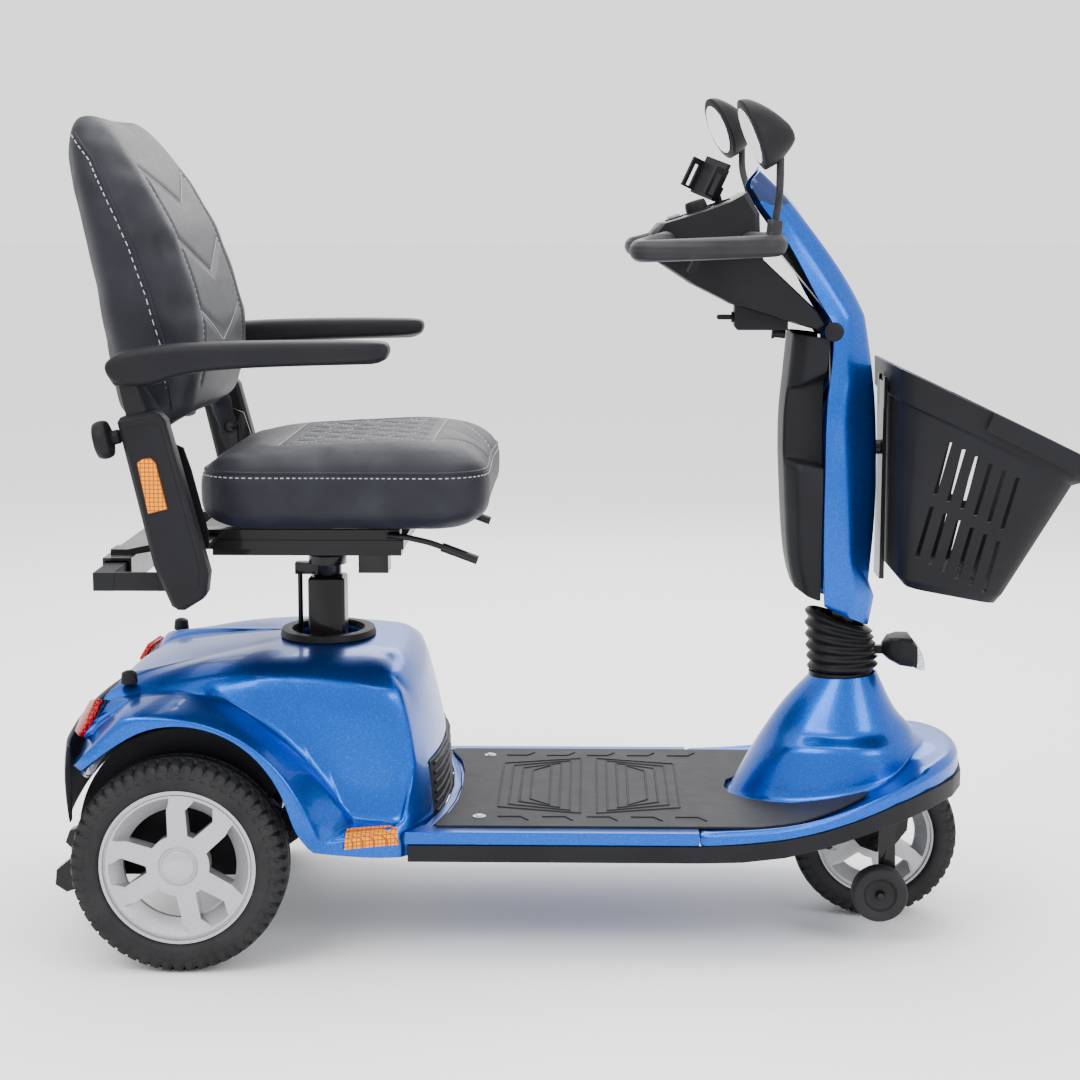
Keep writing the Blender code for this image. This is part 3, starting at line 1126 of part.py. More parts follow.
def build_handlebar():
    """Two closed hand loops, one each side of the console, and the mirrors they carry."""
    for name, side in sides():
        y_in = side * 0.1028
        corners = [(-0.0450, y_in, 0.9200), (-0.0450, side * 0.136, 0.9200),
                   (-0.0200, side * 0.165, 0.9190), (-0.0200, side * 0.238, 0.9175),
                   (-0.1100, side * 0.243, 0.9135), (-0.1900, side * 0.222, 0.9100),
                   (-0.1880, side * 0.142, 0.9110), (-0.1540, side * 0.128, 0.9200),
                   (-0.1540, y_in, 0.9200)]
        bar = swept(rounded_corners(corners, 0.022, 3), 0.0138, 10)
        base = Vector((-0.0250, side * 0.2180, 0.9240))
        clamp = rod(base, base + Vector((0.002, 0, 0.024)), 0.0095, 12)
        ball = MIRROR_BALLS[name]
        path = rounded_corners([base + Vector((0.001, 0, 0.018)), (-0.0200, side * 0.2290, 0.970),
                                ball - Vector((0, 0, 0.040)), ball], 0.014, 3)
        grip = material("grip_rubber", BLACK, 0.7)
        add_node("handle_" + name, union(bar, clamp, swept(path, 0.0042, 10)), grip,
                 (-0.10, y_in, 0.915))
        build_mirror_head(name)


def build_mirror_head(name):
    """A teardrop shell behind an oval glass, on a ball at the stalk's tip."""
    ball = MIRROR_BALLS[name]
    yaw = MIRROR_YAW[name]
    facing = Vector((-math.cos(yaw), math.sin(yaw), -0.42)).normalized()
    across = Vector((0, 0, 1)).cross(facing).normalized()
    up = facing.cross(across)
    centre = ball + facing * 0.026 + up * 0.030
    rings = []
    for back, scale, drop in ((-0.002, 0.90, 0.0), (0.0, 1.0, 0.0), (0.010, 0.98, 0.0),
                              (0.028, 0.72, 0.006), (0.042, 0.40, 0.013), (0.0475, 0.20, 0.016)):
        middle = centre - facing * back - up * drop
        angles = [2.0 * math.pi * k / 18 for k in range(18)]
        rings.append([middle + across * (0.036 * scale * math.cos(a)) + up * (0.046 * scale * math.sin(a))
                      for a in angles])
    body = loft(rings)
    socket = rod(ball - Vector((0, 0, 0.030)), ball + Vector((0, 0, 0.002)), 0.0047, 10)
    add_node("mirror_" + name, cut(body, socket), black_plastic(), ball)


def build_phone_holder():
    """A cradle that tilts on the post's knuckle, its plate turned towards the right hand."""
    ball = lid_point(PHONE_X, 0.0, PHONE_HINGE)
    lean = Vector((0.42, 0.0, 0.90)).normalized()
    out = Vector((-lean.z, 0.0, lean.x))
    turn = Matrix.Rotation(math.radians(28.0), 4, lean)

    def block(y0, y1, low, high, back, front, turned_by=turn):
        local = [[lean * a + out * d + Vector((0, y, 0))
                  for a, d in ((low, back), (high, back), (high, front), (low, front))]
                 for y in (y0, y1)]
        return loft([[ball + turned_by @ p for p in ring] for ring in local])

    plate = block(-0.0300, 0.0300, -0.012, 0.040, 0.0150, 0.0200)
    others = [block(-0.0340, -0.0290, -0.009, 0.032, 0.0160, 0.0360),
              block(0.0290, 0.0340, -0.009, 0.032, 0.0160, 0.0360)]
    others.append(block(-0.0106, 0.0106, 0.005, 0.014, 0.0065, 0.0165, Matrix()))
    others += [block(*sorted((side * 0.0062, side * 0.0100)), -0.006, 0.010, -0.006, 0.008, Matrix())
               for side in (-1.0, 1.0)]
    slots = [block(*sorted((side * 0.022, side * 0.040)), -0.006, 0.024, 0.0240, 0.0310)
             for side in (-1.0, 1.0)]
    add_node("phone_cradle", cut(union(plate, *others), *slots), black_plastic(), ball)


# ---- basket ------------------------------------------------------------------------------------
BAIL_PIVOT = Vector((0.2560, 0.0, 0.6990))


def basket_ring(x0, x1, half, z0, z1, radius):
    """A rounded rectangle whose height runs from z0 at the back to z1 at the front."""
    points = rounded_rect(x0, x1, -half, half, radius, 3)
    return [Vector((x, y, z0 + (z1 - z0) * (x - x0) / (x1 - x0))) for x, y in points]


def build_basket():
    rings = [basket_ring(0.162, 0.280, 0.128, 0.4740, 0.4520, 0.022),
             basket_ring(0.152, 0.290, 0.136, 0.4860, 0.4650, 0.026),
             basket_ring(0.150, 0.3720, 0.158, 0.7160, 0.6080, 0.034),
             basket_ring(0.1470, 0.3850, 0.163, 0.7200, 0.6120, 0.036),
             basket_ring(0.1460, 0.3960, 0.168, 0.7600, 0.6420, 0.038),
             basket_ring(0.1500, 0.3920, 0.164, 0.7600, 0.6420, 0.036),
             basket_ring(0.1530, 0.3690, 0.155, 0.7160, 0.6080, 0.032),
             basket_ring(0.1550, 0.2860, 0.132, 0.4885, 0.4685, 0.024)]
    tub = loft(rings)
    slots = []
    for row in range(2):
        for k in range(6):
            x = 0.212 + 0.0175 * k - 0.020 * row
            z = 0.667 - 0.0090 * k - 0.084 * row
            top = (x, z)
            low = (x - 0.0165, z - 0.068)
            slots.append(prism_y([(top[0], top[1]), (top[0] - 0.0055, top[1]),
                                  (low[0] - 0.0055, low[1]), (low[0], low[1])], -0.20, 0.20))
    for y in (-0.075, -0.045, -0.015, 0.015, 0.045, 0.075):
        slots.append(box(0.25, 0.42, y - 0.003, y + 0.003, 0.500, 0.575))
    add_node("basket", cut(tub, *slots), black_plastic(), (0.27, 0, 0.6))
    path = rounded_corners([(BAIL_PIVOT.x, -0.1735, BAIL_PIVOT.z - 0.004), (0.4020, -0.1735, 0.6250),
                            (0.4020, 0.1735, 0.6250), (BAIL_PIVOT.x, 0.1735, BAIL_PIVOT.z - 0.004)],
                           0.040, 4)
    rings = []
    for i, p in enumerate(path):
        before = path[max(i - 1, 0)]
        after = path[min(i + 1, len(path) - 1)]
        along = (after - before).normalized()
        up = Vector((0.40, 0.0, 0.92)).normalized()
        out = along.cross(up).normalized()
        rings.append([p + up * 0.013 + out * 0.0018, p + up * 0.013 - out * 0.0018,
                      p - up * 0.013 - out * 0.0018, p - up * 0.013 + out * 0.0018])
    add_node("basket_handle", loft(rings), black_plastic(), BAIL_PIVOT)


def main():
    clear_scene()
    build_main_frame()
    build_drive()
    build_wheels()
    build_fork()
    build_deck()
    build_mat()
    build_front_shroud()
    build_skirt()
    build_rear_shroud()
    build_vent()
    build_bumper()
    build_tail_lamps()
    build_small_wheels()
    build_post()
    build_seat_base()
    build_cushion()
    build_backrest()
    build_arms()
    build_seat_levers()
    build_column()
    build_front_cover()
    build_rear_cover()
    build_boot()
    build_headlamp()
    build_console()
    build_controls()
    build_handlebar()
    build_phone_holder()
    build_basket()


main()
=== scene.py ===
import json
import math

import bmesh
import bpy
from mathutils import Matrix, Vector
from mathutils.bvhtree import BVHTree


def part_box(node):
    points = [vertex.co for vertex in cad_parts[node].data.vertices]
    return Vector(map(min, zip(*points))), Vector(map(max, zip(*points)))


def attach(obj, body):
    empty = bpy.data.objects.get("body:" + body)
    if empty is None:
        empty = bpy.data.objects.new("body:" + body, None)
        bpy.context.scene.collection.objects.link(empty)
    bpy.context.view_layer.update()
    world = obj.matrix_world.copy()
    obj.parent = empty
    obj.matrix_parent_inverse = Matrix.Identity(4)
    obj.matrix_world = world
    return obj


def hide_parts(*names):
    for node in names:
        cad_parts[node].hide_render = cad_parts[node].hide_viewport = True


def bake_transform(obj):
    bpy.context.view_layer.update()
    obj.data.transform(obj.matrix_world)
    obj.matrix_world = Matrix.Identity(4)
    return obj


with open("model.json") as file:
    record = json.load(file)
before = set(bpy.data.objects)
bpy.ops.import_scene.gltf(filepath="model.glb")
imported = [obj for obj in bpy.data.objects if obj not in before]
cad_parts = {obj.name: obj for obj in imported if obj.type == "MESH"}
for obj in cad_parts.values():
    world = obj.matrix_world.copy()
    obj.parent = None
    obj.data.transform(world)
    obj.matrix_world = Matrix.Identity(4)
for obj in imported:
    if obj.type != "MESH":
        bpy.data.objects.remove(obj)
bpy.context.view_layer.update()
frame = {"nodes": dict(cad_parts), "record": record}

DATUM_X = 0.2751
TAU = 2.0 * math.pi
MERGE = 1e-5
FLAT_ANGLE = math.radians(1.0)
RECORD = frame["record"]
BODY_OF = {node: body for body, nodes in RECORD["behaviour"]["bodies"].items() for node in nodes}
JOINTS = {joint["name"]: joint for joint in RECORD["behaviour"]["joints"]}
SIDES = (("right", -1.0), ("left", 1.0))

# Wheels: outer radius, rim radius and half width, as the solids have them.
REAR_WHEEL = (0.138, 0.100, 0.039)
FRONT_WHEEL = (0.1124, 0.080, 0.040)
REAR_BLOCKS = 54
FRONT_BLOCKS = 44
TREAD_DEPTH = 0.0046

# Soft goods: the cloth's pressure, the sewn lines and the cushion's seam heights.
PAD_VOXEL = 0.0055
PAD_PRESSURE = 4.0
CLOTH_STEPS = 20
PIPING_RADIUS = 0.0022
THREAD_RADIUS = 0.00065
CUSHION_PIPING_Z = 0.633
CUSHION_THREAD_Z = 0.6275
# The middle of the backrest's side, as height and distance from the datum, from the foot up.
BACKREST_SPINE = ((0.712, -0.747), (0.781, -0.748), (0.857, -0.769), (0.917, -0.790), (0.978, -0.819),
                  (1.023, -0.841), (1.064, -0.876))

GRIP_GROOVE_TOP = 0.9355
NAVY_FROM_Z = 0.970

# Wheel arches: the flat dark sheet of painted shade inboard of the tyre, its place across, and how far it
# reaches from the axle.
ARCH_SHADE_SHEET_Y = 0.206
ARCH_REACH_LOW = 0.094
ARCH_REACH_HIGH = 0.163
ARCH_SHADE_SHEET_THICKNESS = 0.0020

GUARD_FACE_Y = 0.3112
REFLECTOR_THICKNESS = 0.0030
RIB_RADIUS = 0.0013
RIB_LIFT = 0.0003
MIRROR_GLASS_SHARE = 0.86

CAMERA_PLACE = (0.0228, -3.0454, 0.9616)
CAMERA_TILT = 81.6914
CAMERA_YAW = 1.2419
CAMERA_LENS = 75.46


def at(x, y, z):
    """A point written from the tiller datum, as the solids' outlines are."""
    return Vector((x + DATUM_X, y, z))


def pivot(joint):
    """The place of a joint of the record."""
    return Vector(JOINTS[joint]["pos_m"])


# ---- materials ---------------------------------------------------------------------------------
class Nodes:
    """A small helper that adds and links shader nodes of one material."""

    def __init__(self, name):
        self.material = bpy.data.materials.new(name)
        self.material.use_nodes = True
        self.tree = self.material.node_tree
        self.shader = self.tree.nodes["Principled BSDF"]
        self.place = self.add("ShaderNodeTexCoord").outputs["Object"]

    def add(self, kind, **settings):
        node = self.tree.nodes.new(kind)
        for key, value in settings.items():
            setattr(node, key, value)
        return node

    def link(self, source, target):
        self.tree.links.new(source, target)

    def set(self, **sockets):
        for key, value in sockets.items():
            self.shader.inputs[key.replace("_", " ")].default_value = value

    def noise(self, scale, detail=3.0, roughness=0.55, vector=None):
        node = self.add("ShaderNodeTexNoise")
        node.inputs["Scale"].default_value = scale
        node.inputs["Detail"].default_value = detail
        node.inputs["Roughness"].default_value = roughness
        self.link(vector or self.place, node.inputs["Vector"])
        return node.outputs["Fac"]

    def cells(self, scale, feature="F1", output="Distance", uneven=1.0):
        node = self.add("ShaderNodeTexVoronoi", feature=feature)
        node.inputs["Randomness"].default_value = uneven
        node.inputs["Scale"].default_value = scale
        self.link(self.place, node.inputs["Vector"])
        return node.outputs[output]

    def ramp(self, value, stops):
        node = self.add("ShaderNodeValToRGB")
        for index, (place, colour) in enumerate(stops):
            if index > 1:
                node.color_ramp.elements.new(place)
            node.color_ramp.elements[index].position = place
            node.color_ramp.elements[index].color = (*colour, 1.0)
        self.link(value, node.inputs["Fac"])
        return node.outputs["Color"]

    def span(self, value, low, high):
        node = self.add("ShaderNodeMapRange")
        node.inputs["To Min"].default_value = low
        node.inputs["To Max"].default_value = high
        self.link(value, node.inputs["Value"])
        return node.outputs["Result"]

    def bump(self, height, strength, distance, below=None):
        node = self.add("ShaderNodeBump")
        node.inputs["Strength"].default_value = strength
        node.inputs["Distance"].default_value = distance
        self.link(height, node.inputs["Height"])
        if below is not None:
            self.link(below, node.inputs["Normal"])
        return node.outputs["Normal"]


def shade(colour, factor):
    """A colour made darker or lighter."""
    return tuple(min(channel * factor, 1.0) for channel in colour)


def moulded(name, colour, rough, grain=900.0, depth=0.00012, metallic=0.0, coat=0.0, vary=0.22):
    """Moulded or painted surface: fine grain, uneven gloss and a slow drift in colour."""
    made = Nodes(name)
    drift = made.noise(9.0, 4.0)
    colours = [(0.3, shade(colour, 1.0 - vary)), (0.7, shade(colour, 1.0 + vary))]
    made.link(made.ramp(drift, colours), made.shader.inputs["Base Color"])
    made.link(made.span(made.noise(38.0, 5.0), rough - 0.06, rough + 0.07), made.shader.inputs["Roughness"])
    made.link(made.bump(made.noise(grain, 2.0), 0.55, depth), made.shader.inputs["Normal"])
    made.set(Metallic=metallic, Coat_Weight=coat, Coat_Roughness=0.06, Specular_IOR_Level=0.14)
    return made.material


def blue_paint():
    """Metallic blue with fine flake under a clear coat."""
    made = Nodes("blue_metallic")
    flake = made.cells(850.0, output="Color")
    sparkle = made.ramp(flake, [(0.0, (0.000, 0.058, 0.34)), (0.70, (0.000, 0.074, 0.42)),
                                (1.0, (0.002, 0.130, 0.62))])
    made.link(sparkle, made.shader.inputs["Base Color"])
    made.link(made.span(made.noise(14.0), 0.27, 0.33), made.shader.inputs["Roughness"])
    made.set(Metallic=0.86, Coat_Weight=0.26, Coat_Roughness=0.03, Specular_IOR_Level=0.3)
    return made.material


def navy_window():
    """Dark blue gloss of the tiller tip and the display."""
    made = Nodes("navy_panel")
    colours = [(0.3, (0.004, 0.010, 0.045)), (0.7, (0.008, 0.018, 0.080))]
    made.link(made.ramp(made.noise(14.0), colours), made.shader.inputs["Base Color"])
    made.link(made.span(made.noise(50.0), 0.14, 0.22), made.shader.inputs["Roughness"])
    made.set(Coat_Weight=0.2, Coat_Roughness=0.05, Specular_IOR_Level=0.25)
    return made.material


def leather():
    """Charcoal leather cloth: pebbled grain, creases and worn highlights."""
    made = Nodes("leather_cloth")
    colours = [(0.30, (0.010, 0.010, 0.014)), (0.55, (0.014, 0.0145, 0.020)), (0.75, (0.021, 0.022, 0.029))]
    made.link(made.ramp(made.noise(16.0, 6.0), colours), made.shader.inputs["Base Color"])
    made.link(made.span(made.noise(80.0, 4.0), 0.42, 0.56), made.shader.inputs["Roughness"])
    pebbles = made.bump(made.cells(620.0, "DISTANCE_TO_EDGE"), 0.55, 0.00045)
    creases = made.bump(made.noise(55.0, 6.0, 0.65), 0.30, 0.0010, pebbles)
    made.link(creases, made.shader.inputs["Normal"])
    made.set(Specular_IOR_Level=0.16)
    return made.material


def silver_paint():
    """Silver paint with metal flake."""
    made = Nodes("silver_wheel_paint")
    colours = [(0.0, (0.34, 0.34, 0.36)), (1.0, (0.46, 0.46, 0.48))]
    made.link(made.ramp(made.cells(900.0, output="Color"), colours), made.shader.inputs["Base Color"])
    made.link(made.span(made.noise(45.0), 0.34, 0.44), made.shader.inputs["Roughness"])
    made.set(Metallic=0.70, Coat_Weight=0.2, Coat_Roughness=0.12)
    return made.material


def tyre_rubber():
    """Black rubber with a slow random drift in tone."""
    made = Nodes("tyre_tread_rubber")
    colours = [(0.35, (0.006, 0.006, 0.007)), (0.70, (0.013, 0.013, 0.014))]
    made.link(made.ramp(made.noise(30.0, 6.0), colours), made.shader.inputs["Base Color"])
    made.link(made.span(made.noise(90.0), 0.62, 0.80), made.shader.inputs["Roughness"])
    made.link(made.bump(made.noise(1100.0, 2.0), 0.5, 0.0002), made.shader.inputs["Normal"])
    made.set(Specular_IOR_Level=0.30)
    return made.material


def honeycomb(name, deep, bright):
    """Moulded reflector: small bright cells in a coloured lens."""
    made = Nodes(name)
    walls = made.cells(190.0, "DISTANCE_TO_EDGE", uneven=0.0)
    made.link(made.ramp(walls, [(0.05, deep), (0.16, bright)]), made.shader.inputs["Base Color"])
    made.link(made.span(made.noise(60.0), 0.16, 0.24), made.shader.inputs["Roughness"])
    made.link(made.bump(walls, 0.5, 0.0006), made.shader.inputs["Normal"])
    made.set(Coat_Weight=0.1, Coat_Roughness=0.05, Specular_IOR_Level=0.15)
    return made.material


def mirror_glass():
    """Silvered glass, very slightly uneven."""
    made = Nodes("mirror_silvering")
    colours = [(0.0, (0.80, 0.81, 0.84)), (1.0, (0.90, 0.90, 0.93))]
    made.link(made.ramp(made.noise(6.0), colours), made.shader.inputs["Base Color"])
    made.link(made.span(made.noise(20.0), 0.03, 0.07), made.shader.inputs["Roughness"])
    made.set(Metallic=1.0)
    return made.material


def grooved_grip():
    """Soft black rubber with long grooves that run round the loop and stop at the mirror's stalk."""
    made = Nodes("grip_ribbed")
    colours = [(0.3, (0.008, 0.008, 0.010)), (0.7, (0.015, 0.015, 0.018))]
    made.link(made.ramp(made.noise(25.0), colours), made.shader.inputs["Base Color"])
    made.link(made.span(made.noise(70.0), 0.46, 0.60), made.shader.inputs["Roughness"])
    wave = made.add("ShaderNodeTexWave", wave_type="BANDS", bands_direction="Z")
    wave.inputs["Scale"].default_value = 42.0
    made.link(made.place, wave.inputs["Vector"])
    height = made.add("ShaderNodeSeparateXYZ")
    made.link(made.place, height.inputs["Vector"])
    below = made.add("ShaderNodeMath", operation="LESS_THAN")
    below.inputs[1].default_value = GRIP_GROOVE_TOP
    made.link(height.outputs["Z"], below.inputs[0])
    groove = made.add("ShaderNodeMath", operation="MULTIPLY")
    made.link(wave.outputs["Fac"], groove.inputs[0])
    made.link(below.outputs["Value"], groove.inputs[1])
    ribs = made.bump(groove.outputs["Value"], 0.45, 0.0010)
    made.link(made.bump(made.noise(1000.0), 0.4, 0.0001, ribs), made.shader.inputs["Normal"])
    made.set(Specular_IOR_Level=0.30)
    return made.material


CHARCOAL = (0.0085, 0.0085, 0.0105)
PAINT = blue_paint()
NAVY = navy_window()
LEATHER = leather()
SILVER = silver_paint()
TYRE = tyre_rubber()
MIRROR = mirror_glass()
GRIP = grooved_grip()
AMBER = honeycomb("amber_lens", (0.30, 0.05, 0.00), (0.78, 0.26, 0.00))
RED = honeycomb("red_lens", (0.10, 0.00, 0.00), (0.50, 0.006, 0.008))
LAMP_GLASS = honeycomb("lamp_lens", (0.35, 0.36, 0.38), (0.80, 0.82, 0.85))
PLASTIC = moulded("charcoal_textured", CHARCOAL, 0.50)
LID = moulded("lid_plastic", (0.022, 0.022, 0.026), 0.40)
FRAME_PAINT = moulded("satin_black_metal", (0.007, 0.007, 0.008), 0.32, 400.0, 0.00006, 0.25, 0.25)
MAT_RUBBER = moulded("mat_rubber", (0.017, 0.017, 0.020), 0.60, 520.0, 0.0003)
BOOT_RUBBER = moulded("boot_rubber", (0.008, 0.008, 0.009), 0.42, 600.0, 0.00012)
STEEL = moulded("zinc_steel", (0.42, 0.42, 0.44), 0.30, 300.0, 0.00004, 0.9)
THREAD = moulded("grey_thread", (0.42, 0.42, 0.46), 0.70, 3000.0, 0.0001)
BUTTON = moulded("grey_button", (0.36, 0.36, 0.38), 0.42, 900.0, 0.00006)


# ---- making pieces -----------------------------------------------------------------------------
def finished(name, bm, look, body, smooth=35.0):
    """Turn a bmesh into a piece that rides on a CAD body."""
    bmesh.ops.recalc_face_normals(bm, faces=bm.faces)
    mesh = bpy.data.meshes.new(name)
    bm.to_mesh(mesh)
    bm.free()
    mesh.shade_smooth()
    mesh.set_sharp_from_angle(angle=math.radians(smooth))
    mesh.materials.append(look)
    piece = bpy.data.objects.new(name, mesh)
    bpy.context.scene.collection.objects.link(piece)
    if body:
        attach(piece, body)
    return piece


def solid_of(node):
    """A bmesh copy of a CAD node, with its flat faces made whole again."""
    bm = bmesh.new()
    bm.from_mesh(frame["nodes"][node].data)
    bmesh.ops.remove_doubles(bm, verts=bm.verts, dist=MERGE)
    return bm


def bevelled(piece, width, segments, angle):
    """Round the edges that are sharper than an angle, and give back the modifier."""
    bevel = piece.modifiers.new("edges", "BEVEL")
    bevel.width = width
    bevel.segments = segments
    bevel.limit_method = "ANGLE"
    bevel.angle_limit = math.radians(angle)
    return bevel


def edged(node, look, width=0.0012, segments=2, angle=30.0):
    """A CAD node redone with rounded edges."""
    bm = solid_of(node)
    bmesh.ops.dissolve_limit(bm, angle_limit=FLAT_ANGLE, verts=bm.verts, edges=bm.edges)
    piece = finished(node + "_skin", bm, look, BODY_OF[node], 50.0)
    bevelled(piece, width, segments, angle).harden_normals = True
    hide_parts(node)
    return piece


def push_out(bm, distance):
    """Move every vertex along its normal."""
    moves = [(vertex, vertex.normal * distance) for vertex in bm.verts]
    for vertex, move in moves:
        vertex.co += move


def subdivided(piece, levels):
    """Smooth a piece by subdivision."""
    surface = piece.modifiers.new("smooth", "SUBSURF")
    surface.levels = levels
    surface.render_levels = levels


def rounded(node, look, crease=35.0, levels=2, hold=0.8, swell=0.0, loose=False):
    """A CAD node redone as a subdivision surface that keeps its sharp edges."""
    bm = solid_of(node)
    bmesh.ops.join_triangles(bm, faces=bm.faces, angle_face_threshold=math.radians(25.0),
                             angle_shape_threshold=math.radians(60.0))
    bm.normal_update()
    if swell:
        push_out(bm, swell)
    layer = bm.edges.layers.float.new("crease_edge")
    for edge in bm.edges:
        if len(edge.link_faces) == 2 and edge.calc_face_angle(0.0) > math.radians(crease):
            edge[layer] = hold
    piece = finished(node + "_skin", bm, look, None if loose else BODY_OF[node], 60.0)
    subdivided(piece, levels)
    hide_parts(node)
    return piece


def frame_of(axis):
    """An axis and two directions square to it."""
    axis = Vector(axis).normalized()
    reference = Vector((0, 1, 0)) if abs(axis.z) > 0.7 else Vector((0, 0, 1))
    across = axis.cross(reference).normalized()
    return axis, across, axis.cross(across)


def skin_rings(bm, rings, closed=False):
    """Faces between rings of equally many points, then between the last and first, or end caps."""
    pairs = list(zip(rings, rings[1:])) + ([(rings[-1], rings[0])] if closed else [])
    count = len(rings[0])
    for low, high in pairs:
        for k in range(count):
            bm.faces.new((low[k], low[(k + 1) % count], high[(k + 1) % count], high[k]))
    if not closed:
        bm.faces.new(rings[0])
        bm.faces.new(rings[-1])


def turned(profile, centre, axis, count, closed=False, wobble=None):
    """Turn (radius, height) points round an axis; wobble(angle, radius, height) may move them."""
    axis, across, up = frame_of(axis)
    bm = bmesh.new()
    rows = []
    for radius, height in profile:
        row = []
        for k in range(count):
            angle = TAU * k / count
            reach = radius if wobble is None else wobble(angle, radius, height)
            row.append(bm.verts.new(Vector(centre) + axis * height
                                    + reach * (math.cos(angle) * across + math.sin(angle) * up)))
        rows.append(row)
    skin_rings(bm, rows, closed)
    return bm


def tube(path, radius, count=10, closed=False):
    """A round bar along a path of points."""
    bm = bmesh.new()
    rings = []
    across = None
    size = len(path)
    for i, point in enumerate(path):
        before = path[i - 1] if closed or i else point
        after = path[(i + 1) % size] if closed or i < size - 1 else point
        axis = (after - before).normalized()
        if across is None:
            across = frame_of(axis)[1]
        across = (across - axis * across.dot(axis)).normalized()
        up = axis.cross(across)
        rings.append([bm.verts.new(point + radius * (math.cos(TAU * k / count) * across
                                                     + math.sin(TAU * k / count) * up))
                      for k in range(count)])
    skin_rings(bm, rings, closed)
    return bm


def plate(outline, normal, thickness):
    """A flat piece from an outline of points, raised along its normal."""
    bm = bmesh.new()
    normal = Vector(normal).normalized() * thickness
    low = [bm.verts.new(p) for p in outline]
    high = [bm.verts.new(p + normal) for p in outline]
    bm.faces.new(low)
    bm.faces.new(high)
    for k in range(len(low)):
        j = (k + 1) % len(low)
        bm.faces.new((low[k], low[j], high[j], high[k]))
    bmesh.ops.recalc_face_normals(bm, faces=bm.faces)
    bmesh.ops.bevel(bm, geom=bm.edges[:], offset=thickness * 0.25, segments=2, affect="EDGES",
                    clamp_overlap=True)
    return bm


def face_of(node, way, least):
    """The outline of the largest flat face of a node that looks along way, and the face's normal."""
    bm = solid_of(node)
    bmesh.ops.dissolve_limit(bm, angle_limit=FLAT_ANGLE, verts=bm.verts, edges=bm.edges)
    bm.normal_update()
    way = Vector(way).normalized()
    seen = [face for face in bm.faces if face.normal.dot(way) > least]
    face = max(seen, key=lambda found: found.calc_area())
    outline = [vertex.co.copy() for vertex in face.verts]
    normal = face.normal.copy()
    bm.free()
    return outline, normal


def inset(outline, amount):
    """The outline drawn in towards its middle by an amount."""
    middle = sum(outline, Vector()) / len(outline)
    return [p + (middle - p).normalized() * min(amount, 0.8 * (middle - p).length) for p in outline]


def dropper(tree):
    """A function that casts a point onto a surface along a way, giving the place and the normal."""
    def drop(point, way):
        hit = tree.ray_cast(Vector(point), Vector(way).normalized())
        return None if hit[0] is None else (hit[0], hit[1])

    return drop


def landing(node):
    """The dropper for a CAD node."""
    bm = solid_of(node)
    tree = BVHTree.FromBMesh(bm)
    bm.free()
    return dropper(tree)


def tree_of(piece):
    """A search tree of a piece as it is shown, in world places."""
    graph = bpy.context.evaluated_depsgraph_get()
    graph.update()
    shown = piece.evaluated_get(graph)
    bm = bmesh.new()
    bm.from_mesh(shown.to_mesh())
    bm.transform(piece.matrix_world)
    tree = BVHTree.FromBMesh(bm)
    bm.free()
    shown.to_mesh_clear()
    return tree


# ---- camera, light and floor ---------------------------------------------------------------------
def build_stage():
    """The camera, the pale floor, four soft lamps and the world."""
    camera = bpy.data.objects.new("camera", bpy.data.cameras.new("camera"))
    camera.location = CAMERA_PLACE
    camera.rotation_euler = (math.radians(CAMERA_TILT), 0.0, math.radians(CAMERA_YAW))
    camera.data.lens = CAMERA_LENS
    camera.data.sensor_width = 36.0
    bpy.context.scene.collection.objects.link(camera)
    bpy.context.scene.camera = camera
    bm = bmesh.new()
    bmesh.ops.create_grid(bm, x_segments=1, y_segments=1, size=60.0)
    mesh = bpy.data.meshes.new("floor")
    bm.to_mesh(mesh)
    bm.free()
    floor = bpy.data.objects.new("floor", mesh)
    bpy.context.scene.collection.objects.link(floor)
    made = Nodes("pale_floor")
    made.link(made.ramp(made.noise(3.0), [(0.0, (0.94, 0.94, 0.94)), (1.0, (0.96, 0.96, 0.96))]),
              made.shader.inputs["Base Color"])
    made.set(Roughness=0.75)
    mesh.materials.append(made.material)
    lights = (("key", (-1.8, -2.6, 3.2), 1.8, 95.0), ("fill", (2.6, -2.6, 2.2), 1.6, 55.0),
              ("top", (0.1, 0.3, 3.4), 2.6, 105.0), ("back", (0.2, 3.0, 2.4), 2.2, 60.0))
    for name, place, size, power in lights:
        light = bpy.data.lights.new(name, "AREA")
        light.size = size
        light.energy = power
        lamp = bpy.data.objects.new(name, light)
        lamp.location = place
        aim = Vector((0.0, 0.0, 0.5)) - Vector(place)
        lamp.rotation_euler = aim.to_track_quat("-Z", "Y").to_euler()
        bpy.context.scene.collection.objects.link(lamp)
    world = bpy.data.worlds.new("studio")
    world.use_nodes = True
    world.node_tree.nodes["Background"].inputs["Color"].default_value = (1.0, 1.0, 1.0, 1.0)
    world.node_tree.nodes["Background"].inputs["Strength"].default_value = 1.70
    bpy.context.scene.world = world


# ---- wheels --------------------------------------------------------------------------------------
def tread(radius, half, blocks, depth):
    """How far the tyre's surface stands at an angle: zig-zag shoulder blocks and two centre grooves."""
    def surface(angle, reach, height):
        if reach < radius * 0.855:
            return reach
        across = abs(height) / half
        shift = 0.5 if height > 0.0 else 0.0
        phase = blocks * angle / TAU + shift
        run = 2.2 * across + 9.0 * (radius - reach) / radius
        bend = 0.34 * abs(run % 1.0 - 0.5)
        shoulder = across > 0.40 and (phase + bend) % 1.0 < 0.36
        ring = abs(across - 0.24 - 0.10 * abs(phase % 1.0 - 0.5)) < 0.055
        return reach - (depth if shoulder or ring else 0.0)
    return surface


